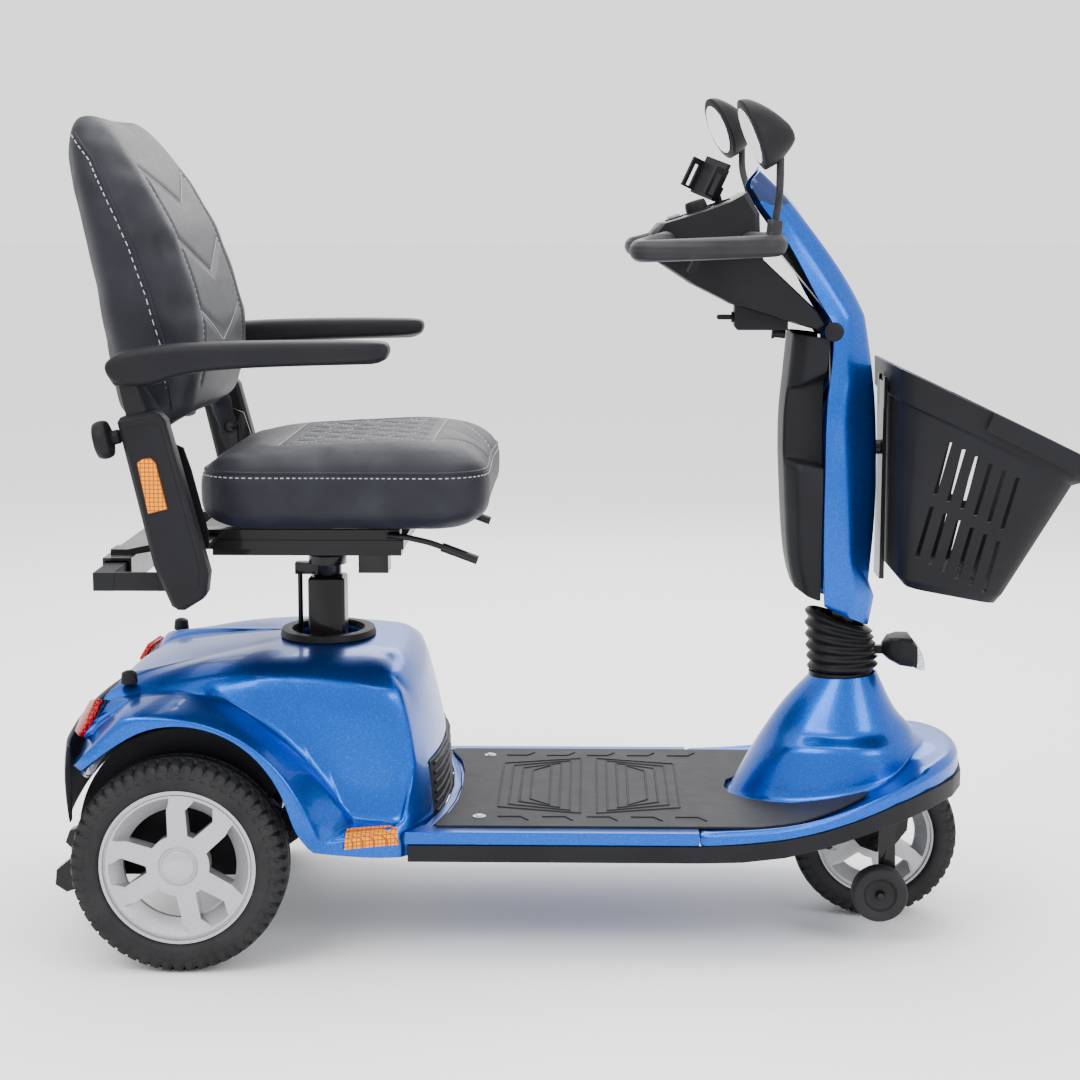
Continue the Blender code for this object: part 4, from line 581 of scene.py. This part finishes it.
def build_tyre(node, joint, size, blocks):
    """A tyre turned from its section, with blocks and grooves cut into the tread."""
    radius, bead, half = size
    wall = radius - bead
    arc = []
    steps = 42
    corners = ((bead + 0.0006, -0.80), (bead + 0.06 * wall, -0.92), (bead + 0.20 * wall, -0.985),
               (bead + 0.38 * wall, -1.0), (bead + 0.46 * wall, -0.995), (bead + 0.50 * wall, -0.97),
               (bead + 0.72 * wall, -0.95), (bead + 0.88 * wall, -0.86), (radius * 0.990, -0.66),
               (radius, -0.40), (radius, 0.0))
    half_profile = [(r, h * half) for r, h in corners]
    profile = half_profile + [(r, -h) for r, h in half_profile[-2::-1]]
    for (r0, h0), (r1, h1) in zip(profile, profile[1:]):
        pieces = max(1, int(steps * math.hypot(r1 - r0, h1 - h0) / (2.2 * half)))
        arc += [(r0 + (r1 - r0) * k / pieces, h0 + (h1 - h0) * k / pieces) for k in range(pieces)]
    arc.append(profile[-1])
    bm = turned(arc, pivot(joint), (0, 1, 0), blocks * 10, True, tread(radius, half, blocks, TREAD_DEPTH))
    piece = finished(node + "_skin", bm, TYRE, BODY_OF[node], 45.0)
    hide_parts(node)


def pocket(centre, radius, half, outward, middle, wide):
    """A cutter between two spokes: a hole right through, with a sloping ledge outside it."""
    if wide:
        front = ((0.91, 31.0), (0.86, 30.5), (0.74, 26.5), (0.40, 18.0))
        back = ((0.72, 26.5), (0.70, 26.3), (0.68, 26.0), (0.39, 18.0))
    else:
        front = ((0.90, 8.0), (0.86, 9.0), (0.74, 15.0), (0.41, 5.5))
        back = ((0.73, 15.5), (0.72, 15.5), (0.70, 15.2), (0.41, 5.5))
    levels = ((front, 1.05), (front, 0.72), (back, 0.20), (back, -1.05))
    bm = bmesh.new()
    rows = []
    for shape, depth in levels:
        # Each shape gives (share of the rim's radius, half angle in degrees), from the outside in.
        polar = [(shape[0][0], shape[0][1] * k / 6.0) for k in range(-6, 7)]
        polar += [(shape[1][0], shape[1][1]), (shape[2][0], shape[2][1])]
        polar += [(shape[3][0], shape[3][1] * k / 4.0) for k in range(4, -5, -1)]
        polar += [(shape[2][0], -shape[2][1]), (shape[1][0], -shape[1][1])]
        row = []
        for reach, turn in polar:
            a = math.radians(middle + turn)
            row.append(bm.verts.new(centre + Vector((radius * reach * math.cos(a), outward * half * depth,
                                                     radius * reach * math.sin(a)))))
        rows.append(row)
    skin_rings(bm, rows)
    bmesh.ops.triangulate(bm, faces=[face for face in bm.faces if len(face.verts) > 4])
    bmesh.ops.recalc_face_normals(bm, faces=bm.faces)
    return bm


def joined(pieces):
    """One mesh from several bmeshes."""
    whole = bmesh.new()
    for bm in pieces:
        mesh = bpy.data.meshes.new("part")
        bm.to_mesh(mesh)
        bm.free()
        whole.from_mesh(mesh)
        bpy.data.meshes.remove(mesh)
    return whole


def build_rim(node, joint, size, outward):
    """A rim with a raised lip, six flat spokes with pockets between them, and a hub cap."""
    radius, half = size[1:]
    centre = pivot(joint)
    axis = Vector((0, outward, 0))
    profile = [(0.004, 0.66 * half), (0.235 * radius, 0.66 * half), (0.255 * radius, 0.60 * half),
               (0.32 * radius, 0.585 * half), (0.70 * radius, 0.62 * half), (0.925 * radius, 0.70 * half),
               (0.935 * radius, 0.66 * half), (0.950 * radius, 0.66 * half), (0.960 * radius, 0.78 * half),
               (radius - 0.0004, 0.80 * half), (radius - 0.0004, -0.80 * half),
               (0.93 * radius, -0.80 * half), (0.92 * radius, 0.14 * half), (0.70 * radius, 0.02 * half),
               (0.30 * radius, 0.02 * half), (0.26 * radius, -0.70 * half), (0.004, -0.70 * half)]
    piece = finished(node + "_skin", turned(profile, centre, axis, 120, True), SILVER, BODY_OF[node], 35.0)
    pockets = [pocket(centre, radius, half, outward, 67.0 + 60.0 * k, k % 2 == 1) for k in range(6)]
    mesh = bpy.data.meshes.new("cutter")
    tool = joined(pockets)
    tool.to_mesh(mesh)
    tool.free()
    cutter = bpy.data.objects.new("cutter", mesh)
    bpy.context.scene.collection.objects.link(cutter)
    hole = piece.modifiers.new("windows", "BOOLEAN")
    hole.object = cutter
    hole.solver = "EXACT"
    apply_modifiers(piece)
    bpy.data.objects.remove(cutter, do_unlink=True)
    bevelled(piece, 0.0009, 2, 25.0)
    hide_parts(node)
    scale = radius / REAR_WHEEL[1]
    cap = [(0.0215, -0.0005), (0.0215, 0.0016), (0.0205, 0.0026), (0.0195, 0.0022), (0.0180, 0.0030),
           (0.0060, 0.0038), (0.0015, 0.0038)]
    start = centre + axis * (0.66 * half)
    bm = turned([(r * scale, h) for r, h in cap], start, axis, 48)
    finished(node + "_cap", bm, SILVER, BODY_OF[node], 35.0)


def apply_modifiers(piece):
    """Make the evaluated shape the piece's own mesh."""
    graph = bpy.context.evaluated_depsgraph_get()
    mesh = bpy.data.meshes.new_from_object(piece.evaluated_get(graph))
    old = piece.data
    piece.modifiers.clear()
    piece.data = mesh
    bpy.data.meshes.remove(old)


def build_wheels():
    """Tyres and rims, and the two small stabiliser wheels."""
    for name, side in SIDES:
        joint = "rear_wheel_%s_spin" % name
        build_tyre("rear_tyre_" + name, joint, REAR_WHEEL, REAR_BLOCKS)
        build_rim("rear_rim_" + name, joint, REAR_WHEEL, side)
        rounded("stabiliser_wheel_" + name, TYRE, 30.0, 2, 0.6, 0.0006)
    build_tyre("front_tyre", "front_wheel_spin", FRONT_WHEEL, FRONT_BLOCKS)
    build_rim("front_rim", "front_wheel_spin", FRONT_WHEEL, -1.0)


# ---- seat ----------------------------------------------------------------------------------------
def inflated(node, shrink, cap):
    """A pad made by cloth simulation from its CAD solid: it swells, but no point moves past cap."""
    bm = solid_of(node)
    low, high = (Vector(corner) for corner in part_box(node))
    middle = (low + high) / 2.0
    for vertex in bm.verts:
        for i in range(3):
            half = (high[i] - low[i]) / 2.0
            vertex.co[i] = middle[i] + (vertex.co[i] - middle[i]) * (half - shrink) / half
    piece = finished(node + "_pad", bm, LEATHER, BODY_OF[node], 60.0)
    remesh = piece.modifiers.new("remesh", "REMESH")
    remesh.mode = "VOXEL"
    remesh.voxel_size = PAD_VOXEL
    apply_modifiers(piece)
    start = [vertex.co.copy() for vertex in piece.data.vertices]
    cloth = piece.modifiers.new("cloth", "CLOTH")
    cloth.settings.use_pressure = True
    cloth.settings.uniform_pressure_force = PAD_PRESSURE
    cloth.settings.effector_weights.gravity = 0.0
    cloth.settings.quality = 4
    for step in range(1, CLOTH_STEPS + 1):
        bpy.context.scene.frame_set(step)
    apply_modifiers(piece)
    bpy.context.scene.frame_set(1)
    for vertex, old in zip(piece.data.vertices, start):
        move = vertex.co - old
        if move.length > cap:
            vertex.co = old + move.normalized() * cap
    fill_box(piece, low, high)
    return piece


def fill_box(piece, low, high):
    """Stretch a pad a little so that it fills the box of its CAD solid."""
    places = [vertex.co for vertex in piece.data.vertices]
    for i in range(3):
        least = min(place[i] for place in places)
        most = max(place[i] for place in places)
        scale = (high[i] - low[i] - 0.002) / (most - least)
        for vertex in piece.data.vertices:
            vertex.co[i] = low[i] + 0.001 + (vertex.co[i] - least) * scale


def soften(piece, rounds=9):
    """Smooth the small waves that the cloth simulation leaves."""
    bm = bmesh.new()
    bm.from_mesh(piece.data)
    for _ in range(rounds):
        bmesh.ops.smooth_vert(bm, verts=bm.verts, factor=0.5, use_axis_x=True, use_axis_y=True,
                              use_axis_z=True)
    bm.to_mesh(piece.data)
    bm.free()


def distance_to(point, start, end):
    """How far a flat point is from a stretch of line."""
    line = end - start
    t = max(0.0, min(1.0, (point - start).dot(line) / line.length_squared))
    return (point - start - line * t).length


def sew(piece, lines, flat, facing, depth, width):
    """Pull the surface in along lines that are written in the flat plane of two axes."""
    mesh = piece.data
    moves = []
    for vertex in mesh.vertices:
        if vertex.normal.dot(facing) < 0.45:
            continue
        point = flat(vertex.co)
        near = min(distance_to(point, a, b) for a, b in lines)
        if near < 4.0 * width:
            moves.append((vertex.index, vertex.normal * (-depth * math.exp(-(near / width) ** 2))))
    for index, move in moves:
        mesh.vertices[index].co += move


def stitches(name, tree, paths, cast, body, pitch=0.0075, length=0.0045):
    """Short raised threads along paths that are cast onto a surface."""
    bm = bmesh.new()
    for start, end in paths:
        count = max(1, int((end - start).length / pitch))
        for k in range(count):
            a = cast(tree, start.lerp(end, k / count))
            b = cast(tree, start.lerp(end, (k + length / pitch) / count))
            if a is None or b is None or (b[0] - a[0]).length > 2.0 * length:
                continue
            normal = (a[1] + b[1]).normalized()
            along = (b[0] - a[0]).normalized()
            side = along.cross(normal) * 0.00055
            lift = normal * 0.0009
            ring = [a[0] - side, b[0] - side, b[0] + side, a[0] + side]
            low = [bm.verts.new(p - normal * 0.0004) for p in ring]
            high = [bm.verts.new(p.lerp((a[0] + b[0]) / 2.0, 0.22) + lift) for p in ring]
            bm.faces.new(low[::-1])
            bm.faces.new(high)
            for i in range(4):
                j = (i + 1) % 4
                bm.faces.new((low[i], low[j], high[j], high[i]))
    return finished(name, bm, THREAD, body, 60.0)


def diamonds(centre, half_long, half_wide, step):
    """Crossing diagonal lines inside a rectangle, as pairs of flat points."""
    lines = []
    reach = half_long + half_wide
    count = int(reach / step)
    for slope in (-1.0, 1.0):
        for k in range(-count, count + 1):
            offset = k * step
            low = max(-half_long, offset - half_wide)
            high = min(half_long, offset + half_wide)
            if high - low > 0.01:
                a = Vector((low, slope * (low - offset)))
                b = Vector((high, slope * (high - offset)))
                lines.append((centre + a, centre + b))
    return lines


def ring_on(tree, centre, z, count, out):
    """A closed line round a pad at one height."""
    points = []
    for k in range(count):
        a = TAU * k / count
        way = Vector((math.cos(a), math.sin(a), 0.0))
        start = Vector((centre.x, centre.y, z)) + way * 0.6
        hit = tree.ray_cast(start, -way)
        if hit[0] is not None:
            points.append(hit[0] + way * out)
    return points


def build_cushion():
    """The cushion with its quilted top, piping and thread."""
    piece = inflated("seat_cushion", 0.007, 0.008)
    soften(piece)
    low, high = (Vector(corner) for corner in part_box("seat_cushion"))
    centre = Vector(((low.x + high.x) / 2.0 + 0.012, 0.0))
    quilt = diamonds(centre, 0.085, 0.135, 0.062)
    half_x, half_y = 0.100, 0.150
    corners = [centre + Vector((sx * half_x, sy * half_y))
               for sx, sy in ((1, 1), (1, -1), (-1, -1), (-1, 1))]
    border = list(zip(corners, corners[1:] + corners[:1]))
    vee = [(centre + Vector((half_x, side * half_y)), centre + Vector((0.165, side * 0.060)))
           for side in (-1.0, 1.0)]
    lines = quilt + border + vee
    sew(piece, lines, lambda p: Vector((p.x, p.y)), Vector((0, 0, 1)), 0.0030, 0.0050)
    finish_pad(piece, "seat_cushion")
    tree = tree_of(piece)
    body = BODY_OF["seat_cushion"]

    def cast(found, point):
        hit = found.ray_cast(Vector((point.x, point.y, high.z + 0.1)), Vector((0, 0, -1)))
        return None if hit[0] is None else (hit[0], hit[1])

    stitches("cushion_stitching", tree, lines, cast, body)
    middle = Vector((centre.x - 0.012, 0.0, 0.0))
    piping = tube(ring_on(tree, middle, CUSHION_PIPING_Z, 180, 0.0002), PIPING_RADIUS, 8, True)
    finished("cushion_piping", piping, LEATHER, body, 60.0)
    dashes = ring_on(tree, middle, CUSHION_THREAD_Z, 420, 0.0004)
    threads = [tube([dashes[k], dashes[k + 1]], THREAD_RADIUS, 6) for k in range(0, len(dashes) - 1, 2)]
    finished("cushion_top_thread", joined(threads), THREAD, body, 60.0)


def finish_pad(piece, node):
    """The last steps that both pads share."""
    subdivided(piece, 1)
    piece.data.shade_smooth()
    if not piece.data.materials:
        piece.data.materials.append(LEATHER)
    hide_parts(node)


def build_backrest():
    """The backrest with its sewn chevrons and piped edges."""
    piece = inflated("backrest", 0.006, 0.007)
    soften(piece)
    high = Vector(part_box("backrest")[1])
    top = high.z
    rows = []
    for z in (top - 0.115, top - 0.205, top - 0.295):
        for side in (-1.0, 1.0):
            rows.append((Vector((side * 0.150, z + 0.045)), Vector((0.0, z))))
    for side in (-1.0, 1.0):
        rows.append((Vector((side * 0.150, top - 0.070)), Vector((side * 0.160, top - 0.340))))
    sew(piece, rows, lambda p: Vector((p.y, p.z)), Vector((1, 0, 0.15)).normalized(), 0.0036, 0.0052)
    finish_pad(piece, "backrest")
    tree = tree_of(piece)
    body = BODY_OF["backrest"]

    def cast(found, point):
        hit = found.ray_cast(Vector((high.x + 0.2, point.x, point.y)), Vector((-1, 0, 0)))
        return None if hit[0] is None else (hit[0], hit[1])

    stitches("backrest_stitching", tree, rows, cast, body)
    for name, side in SIDES:
        edge_piping(name, side, tree)


def edge_piping(name, side, tree):
    """Piping up one side of the backrest, with a row of threads behind it."""
    points = []
    for (z0, x0), (z1, x1) in zip(BACKREST_SPINE, BACKREST_SPINE[1:]):
        for k in range(6):
            z = z0 + (z1 - z0) * k / 6.0
            x = x0 + (x1 - x0) * k / 6.0 - 0.030
            hit = tree.ray_cast(at(x, side * 0.5, z), Vector((0, -side, 0)))
            if hit[0] is not None:
                points.append(hit[0])
    if len(points) < 4:
        return
    body = BODY_OF["backrest"]
    finished("backrest_piping_" + name, tube(points, PIPING_RADIUS, 8), LEATHER, body, 60.0)
    threads = []
    behind = Vector((-0.0055, side * 0.0004, 0))
    for a, b in zip(points, points[1:]):
        if (b - a).length > 0.03:
            continue
        steps = max(1, int((b - a).length / 0.0085))
        for k in range(steps):
            start = a.lerp(b, k / steps) + behind
            end = a.lerp(b, (k + 0.55) / steps) + behind
            threads.append(tube([start, end], THREAD_RADIUS, 6))
    finished("backrest_thread_" + name, joined(threads), THREAD, body, 60.0)


def build_seat_metal():
    """The seat frame, its post, the arms and the levers."""
    for node in ("seat_frame", "swivel_plate", "seat_post_outer"):
        edged(node, FRAME_PAINT, 0.0010)
    for node in ("seat_post_inner", "slide_lever", "swivel_lever"):
        edged(node, FRAME_PAINT, 0.0006)
    for name, side in SIDES:
        edged("arm_post_" + name, FRAME_PAINT, 0.0012)
        edged("arm_guard_" + name, PLASTIC, 0.0022, 3)
        rounded("armrest_" + name, PLASTIC, 50.0, 3, 0.55, 0.0008)
        rounded("arm_knob_" + name, PLASTIC, 40.0, 2, 0.6, 0.0008)
        outline, normal = face_of("arm_guard_" + name, (0, side, 0), 0.97)
        finished("guard_panel_" + name, plate(inset(outline, 0.010), normal, 0.0008), PLASTIC,
                 BODY_OF["arm_guard_" + name], 40.0)
        reflector("guard_reflector_" + name, [(-0.803, 0.656), (-0.796, 0.661), (-0.786, 0.662),
                                              (-0.780, 0.656), (-0.767, 0.599), (-0.791, 0.593)],
                  side * GUARD_FACE_Y, side, BODY_OF["arm_guard_" + name])


def draped(name, corners, drop, way, thickness, look, body, columns=14, rows=5):
    """A thin piece that follows a surface: four corners are cast onto it along a way."""
    bm = bmesh.new()
    way = Vector(way)
    grids = []
    for lift in (-0.0005, thickness):
        grid = []
        for j in range(rows + 1):
            low = corners[0].lerp(corners[1], j / rows)
            high = corners[3].lerp(corners[2], j / rows)
            line = []
            for i in range(columns + 1):
                hit = drop(low.lerp(high, i / columns), way)
                line.append(bm.verts.new(hit[0] - way * lift))
            grid.append(line)
        grids.append(grid)
    low, high = grids
    for j in range(rows):
        for i in range(columns):
            bm.faces.new((low[j][i], low[j + 1][i], low[j + 1][i + 1], low[j][i + 1]))
            bm.faces.new((high[j][i], high[j][i + 1], high[j + 1][i + 1], high[j + 1][i]))
    border = [(0, i) for i in range(columns)] + [(j, columns) for j in range(rows)]
    border += [(rows, columns - i) for i in range(columns)] + [(rows - j, 0) for j in range(rows)]
    for (j0, i0), (j1, i1) in zip(border, border[1:] + border[:1]):
        bm.faces.new((low[j0][i0], low[j1][i1], high[j1][i1], high[j0][i0]))
    return finished(name, bm, look, body, 40.0)


def reflector(name, outline, y, side, body):
    """A flat amber reflector from its outline in a side view."""
    points = [at(x, y, z) for x, z in outline]
    return finished(name, plate(points, (0, side, 0), REFLECTOR_THICKNESS), AMBER, body, 40.0)


# ---- body ----------------------------------------------------------------------------------------
def build_shells():
    """The painted shells and what is fixed to them."""
    rear = dropper(tree_of(rounded("rear_shroud", PAINT, 34.0, 2, 0.72)))
    rounded("front_shroud", PAINT, 34.0, 2, 0.72)
    edged("deck_pan", PAINT, 0.0010)
    edged("deck_skirt", PLASTIC, 0.0014, 3)
    rounded("rear_bumper", PLASTIC, 40.0, 2, 0.6)
    edged("front_vent", PLASTIC, 0.0008)
    rounded("post_ring", PLASTIC, 30.0, 2, 0.6)
    for name, side in SIDES:
        edged("tail_lamp_" + name, RED, 0.0012, 3)
        corners = [at(x, side * 0.6, z) for x, z in ((-0.561, 0.157), (-0.560, 0.178), (-0.497, 0.178),
                                                     (-0.494, 0.157))]
        draped("side_reflector_" + name, corners, rear, (0, -side, 0), 0.0024, AMBER, "chassis")
        # painted shade: a flat dark sheet that darkens the gap round the rear tyre
        arch_shade_sheet(name, side)
        knob = [(0.0020, 0.0), (0.0105, 0.0), (0.0110, 0.0030), (0.0095, 0.0140), (0.0050, 0.0165)]
        finished("shroud_knob_" + name, turned(knob, at(-0.845, side * 0.190, 0.356), (0, 0, 1), 24),
                 PLASTIC, "chassis", 40.0)
    drop = landing("front_vent")
    bars = []
    for row in range(6):
        z = 0.172 + 0.013 * row
        hits = [drop((0.3, y, z), (-1, 0, 0)) for y in [-0.150 + 0.020 * k for k in range(16)]]
        points = [hit[0] + Vector((0.0006, 0, 0)) for hit in hits if hit]
        if len(points) > 3:
            bars.append(tube(points, 0.0024, 8))
    finished("vent_slats", joined(bars), PLASTIC, "chassis", 60.0)


def arch_shade_sheet(name, side):
    """A flat dark sheet of painted shade inside a wheel arch, just inboard of the tyre."""
    centre = pivot("rear_wheel_%s_spin" % name)
    outline = []
    for degrees in range(-20, 201, 5):
        a = math.radians(degrees)
        reach = ARCH_REACH_LOW
        if 35 <= degrees <= 120:
            reach = ARCH_REACH_HIGH
        elif 120 < degrees <= 165:
            reach = ARCH_REACH_HIGH - 0.0004 * (degrees - 120)
        outline.append(Vector((centre.x + reach * math.cos(a), side * ARCH_SHADE_SHEET_Y,
                               centre.z + reach * math.sin(a))))
    # painted shade: the charcoal sheet stands where the arch shows only shade
    bm = plate(outline, (0, -side, 0), ARCH_SHADE_SHEET_THICKNESS)
    finished("arch_shade_sheet_" + name, bm, PLASTIC, "chassis", 40.0)


def build_mat():
    """The mat with washered screws and nested raised ribs."""
    edged("floor_mat", MAT_RUBBER, 0.0007)
    drop = landing("floor_mat")
    top = drop((-0.10, 0.02, 0.6), (0, 0, -1))[0].z
    ribs = []
    for start, end, near, far in ((-0.372, -0.262, 0.120, 0.150), (-0.240, -0.130, 0.150, 0.120)):
        for step in (0.0, 0.014, 0.028, 0.042):
            corners = [at(x, y, top + RIB_LIFT) for x, y in
                       ((start + step, step - near), (end - step, step - far),
                        (end - step, far - step), (start + step, near - step))]
            for a, b in zip(corners, corners[1:] + corners[:1]):
                ribs.append(tube([a, b], RIB_RADIUS, 6))
    for name, side in SIDES:
        for k in range(5):
            x = -0.370 + 0.058 * k
            hook = ((x, 0.168), (x + 0.030, 0.168), (x + 0.040, 0.185))
            ribs.append(tube([at(p, side * q, top + RIB_LIFT) for p, q in hook], RIB_RADIUS, 6))
    finished("mat_ribs", joined(ribs), MAT_RUBBER, "chassis", 60.0)
    for name, side in SIDES:
        head = [(0.0010, 0.0), (0.0085, 0.0), (0.0085, 0.0010), (0.0050, 0.0012), (0.0048, 0.0026),
                (0.0020, 0.0030)]
        finished("mat_screw_" + name, turned(head, at(-0.394, side * 0.168, top), (0, 0, 1), 28),
                 STEEL, "chassis", 40.0)


def build_running_gear():
    """The chassis and the machinery inside it."""
    for node in ("main_frame", "front_fork", "antitip_bar"):
        edged(node, FRAME_PAINT, 0.0010)
    edged("transaxle", STEEL, 0.0010)
    edged("battery_pack", PLASTIC, 0.0015)
    edged("controller", STEEL, 0.0008)


# ---- tiller ----------------------------------------------------------------------------------------
def build_tiller():
    """The tiller covers, column, boot, lamp, console, handles and mirrors."""
    cover = rounded("tiller_front_cover", PAINT, 14.0, 2, 0.80)
    two_tone(cover, NAVY, Vector((0.0, 0.0, NAVY_FROM_Z)), lambda face: abs(face.normal.y) > 0.45)
    rounded("tiller_rear_cover", PLASTIC, 18.0, 2, 0.78)
    edged("tiller_column", FRAME_PAINT, 0.0010)
    boot = rounded("boot", BOOT_RUBBER, 70.0, 2, 0.5, loose=True)
    apply_modifiers(boot)
    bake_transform(boot)
    edged("headlamp", PLASTIC, 0.0012, 3, 24.0)
    edged("console_lower", PLASTIC, 0.0030, 3, 22.0)
    lid = edged("console_upper", PLASTIC, 0.0022, 3, 22.0)
    lid.data.materials.append(LID)
    normal = face_of("console_upper", (-0.4, 0, 1), 0.8)[1]
    for face in lid.data.polygons:
        face.material_index = 1 if face.normal.dot(normal) > 0.97 else 0
    lamp_lens()
    boot_collar()
    for name, side in SIDES:
        cap = [(0.0015, 0.0), (0.0125, 0.0), (0.0125, 0.0030), (0.0105, 0.0045), (0.0030, 0.0048)]
        finished("knee_cap_" + name, turned(cap, at(0.066, side * 0.0870, 0.804), (0, side, 0), 32),
                 PLASTIC, "tiller", 40.0)
        rounded("handle_" + name, GRIP, 50.0, 2, 0.5, 0.0009)
        rounded("mirror_" + name, PLASTIC, 45.0, 2, 1.0)
        edged("throttle_" + name, PLASTIC, 0.0012, 3)
        mirror_face(name)


def lamp_lens():
    """Clear cover over the lamp's curved front."""
    bm = solid_of("headlamp")
    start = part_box("headlamp")[1][0] - 0.0135
    hidden = [face for face in bm.faces if min(vertex.co.x for vertex in face.verts) < start]
    bmesh.ops.delete(bm, geom=hidden, context="FACES")
    bm.normal_update()
    push_out(bm, 0.0010)
    bmesh.ops.solidify(bm, geom=bm.faces[:], thickness=0.0007)
    finished("headlamp_lens", bm, LAMP_GLASS, "steering", 30.0)


def boot_collar():
    """The rubber lip under the boot, inside the top of the front shroud."""
    bm = solid_of("boot")
    low = min(vertex.co.z for vertex in bm.verts)
    foot = [vertex.co.copy() for vertex in bm.verts if vertex.co.z < low + 0.008]
    bm.free()
    left = min(p.x for p in foot)
    right = max(p.x for p in foot)
    reach = (right - left) / 2.0 - 0.004
    lip = [(reach - 0.012, -0.008), (reach - 0.002, -0.008), (reach, -0.004), (reach, 0.0015),
           (reach - 0.012, 0.0015)]
    bm = turned(lip, Vector(((left + right) / 2.0, 0.0, low)), (0, 0, 1), 64, True)
    finished("boot_collar", bm, BOOT_RUBBER, "steering", 40.0)


def two_tone(piece, look, height, chosen):
    """Give the chosen faces above a height a second material."""
    bm = bmesh.new()
    bm.from_mesh(piece.data)
    geometry = bm.verts[:] + bm.edges[:] + bm.faces[:]
    bmesh.ops.bisect_plane(bm, geom=geometry, plane_co=height, plane_no=(0, 0, 1))
    for face in bm.faces:
        if face.calc_center_median().z > height.z and chosen(face):
            face.material_index = 1
    bm.to_mesh(piece.data)
    bm.free()
    piece.data.materials.append(look)


def mirror_face(name):
    """The oval glass, a little smaller than the flat face of the mirror's shell."""
    outline, normal = face_of("mirror_" + name, (-1, 0, 0), 0.4)
    middle = sum(outline, Vector()) / len(outline)
    glass = [middle + (p - middle) * MIRROR_GLASS_SHARE + normal * 0.0002 for p in outline]
    finished("mirror_glass_" + name, plate(glass, normal, 0.0008), MIRROR, "mirror_head_" + name, 40.0)


def build_controls():
    """The dial, the key, the buttons and the phone holder."""
    rounded("speed_knob", PLASTIC, 40.0, 2, 0.6)
    edged("ignition_key", PLASTIC, 0.0006)
    edged("phone_cradle", PLASTIC, 0.0014, 3)
    for node in ("horn_button", "lights_button"):
        rounded(node, BUTTON, 40.0, 2, 0.6, 0.0004)
    console_trim()


def console_trim():
    """The lid's display and lamps, and rings round the knob and the buttons."""
    outline, normal = face_of("console_upper", (-0.4, 0, 1), 0.8)
    up = Vector((0, 1, 0)).cross(normal)
    up = up if up.x > 0.0 else -up
    drop = landing("console_upper")
    middle = drop(sum(outline, Vector()) / len(outline) + normal * 0.1, -normal)[0]
    ahead = max((p - middle).dot(up) for p in outline)
    wide = Vector((0, 1, 0))

    def strip(name, centre, long, deep, look, lift):
        corners = [centre + wide * (long * a) + up * (deep * b) + normal * lift
                   for a, b in ((-1.0, -0.6), (-0.9, -1.0), (0.9, -1.0), (1.0, -0.6), (1.0, 0.6), (0.9, 1.0),
                                (-0.9, 1.0), (-1.0, 0.6))]
        finished(name, plate(corners, normal, 0.0010), look, "tiller", 40.0)

    top = middle + up * (ahead - 0.020)
    strip("display_bezel", top, 0.046, 0.0100, PLASTIC, 0.0)
    strip("display_window", top, 0.041, 0.0075, NAVY, 0.0010)
    for k in range(5):
        lamp = [(0.0004, 0.0), (0.0014, 0.0), (0.0014, 0.0006), (0.0005, 0.0009)]
        look = (RED, AMBER, BUTTON, BUTTON, BUTTON)[k]
        place = top + wide * (0.014 * (k - 2)) + normal * 0.0019
        finished("display_lamp_%d" % k, turned(lamp, place, normal, 16), look, "tiller", 40.0)
    for node in ("speed_knob", "horn_button", "lights_button"):
        low, high = (Vector(corner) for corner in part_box(node))
        hit = drop((low + high) / 2.0 + normal * 0.08, -normal)
        if hit is None:
            continue
        size = (high.y - low.y) / 2.0 + 0.0008
        ring = [(size, 0.0), (size + 0.0026, 0.0), (size + 0.0024, 0.0016), (size + 0.0004, 0.0020)]
        finished("bezel_" + node, turned(ring, hit[0], normal, 40, True), PLASTIC, "tiller", 40.0)


def build_basket():
    """The basket and its handle."""
    edged("basket", PLASTIC, 0.0010, 2, 30.0)
    edged("basket_handle", PLASTIC, 0.0012, 2, 40.0)


build_stage()
build_wheels()
build_cushion()
build_backrest()
build_seat_metal()
build_shells()
build_mat()
build_running_gear()
build_tiller()
build_controls()
build_basket()
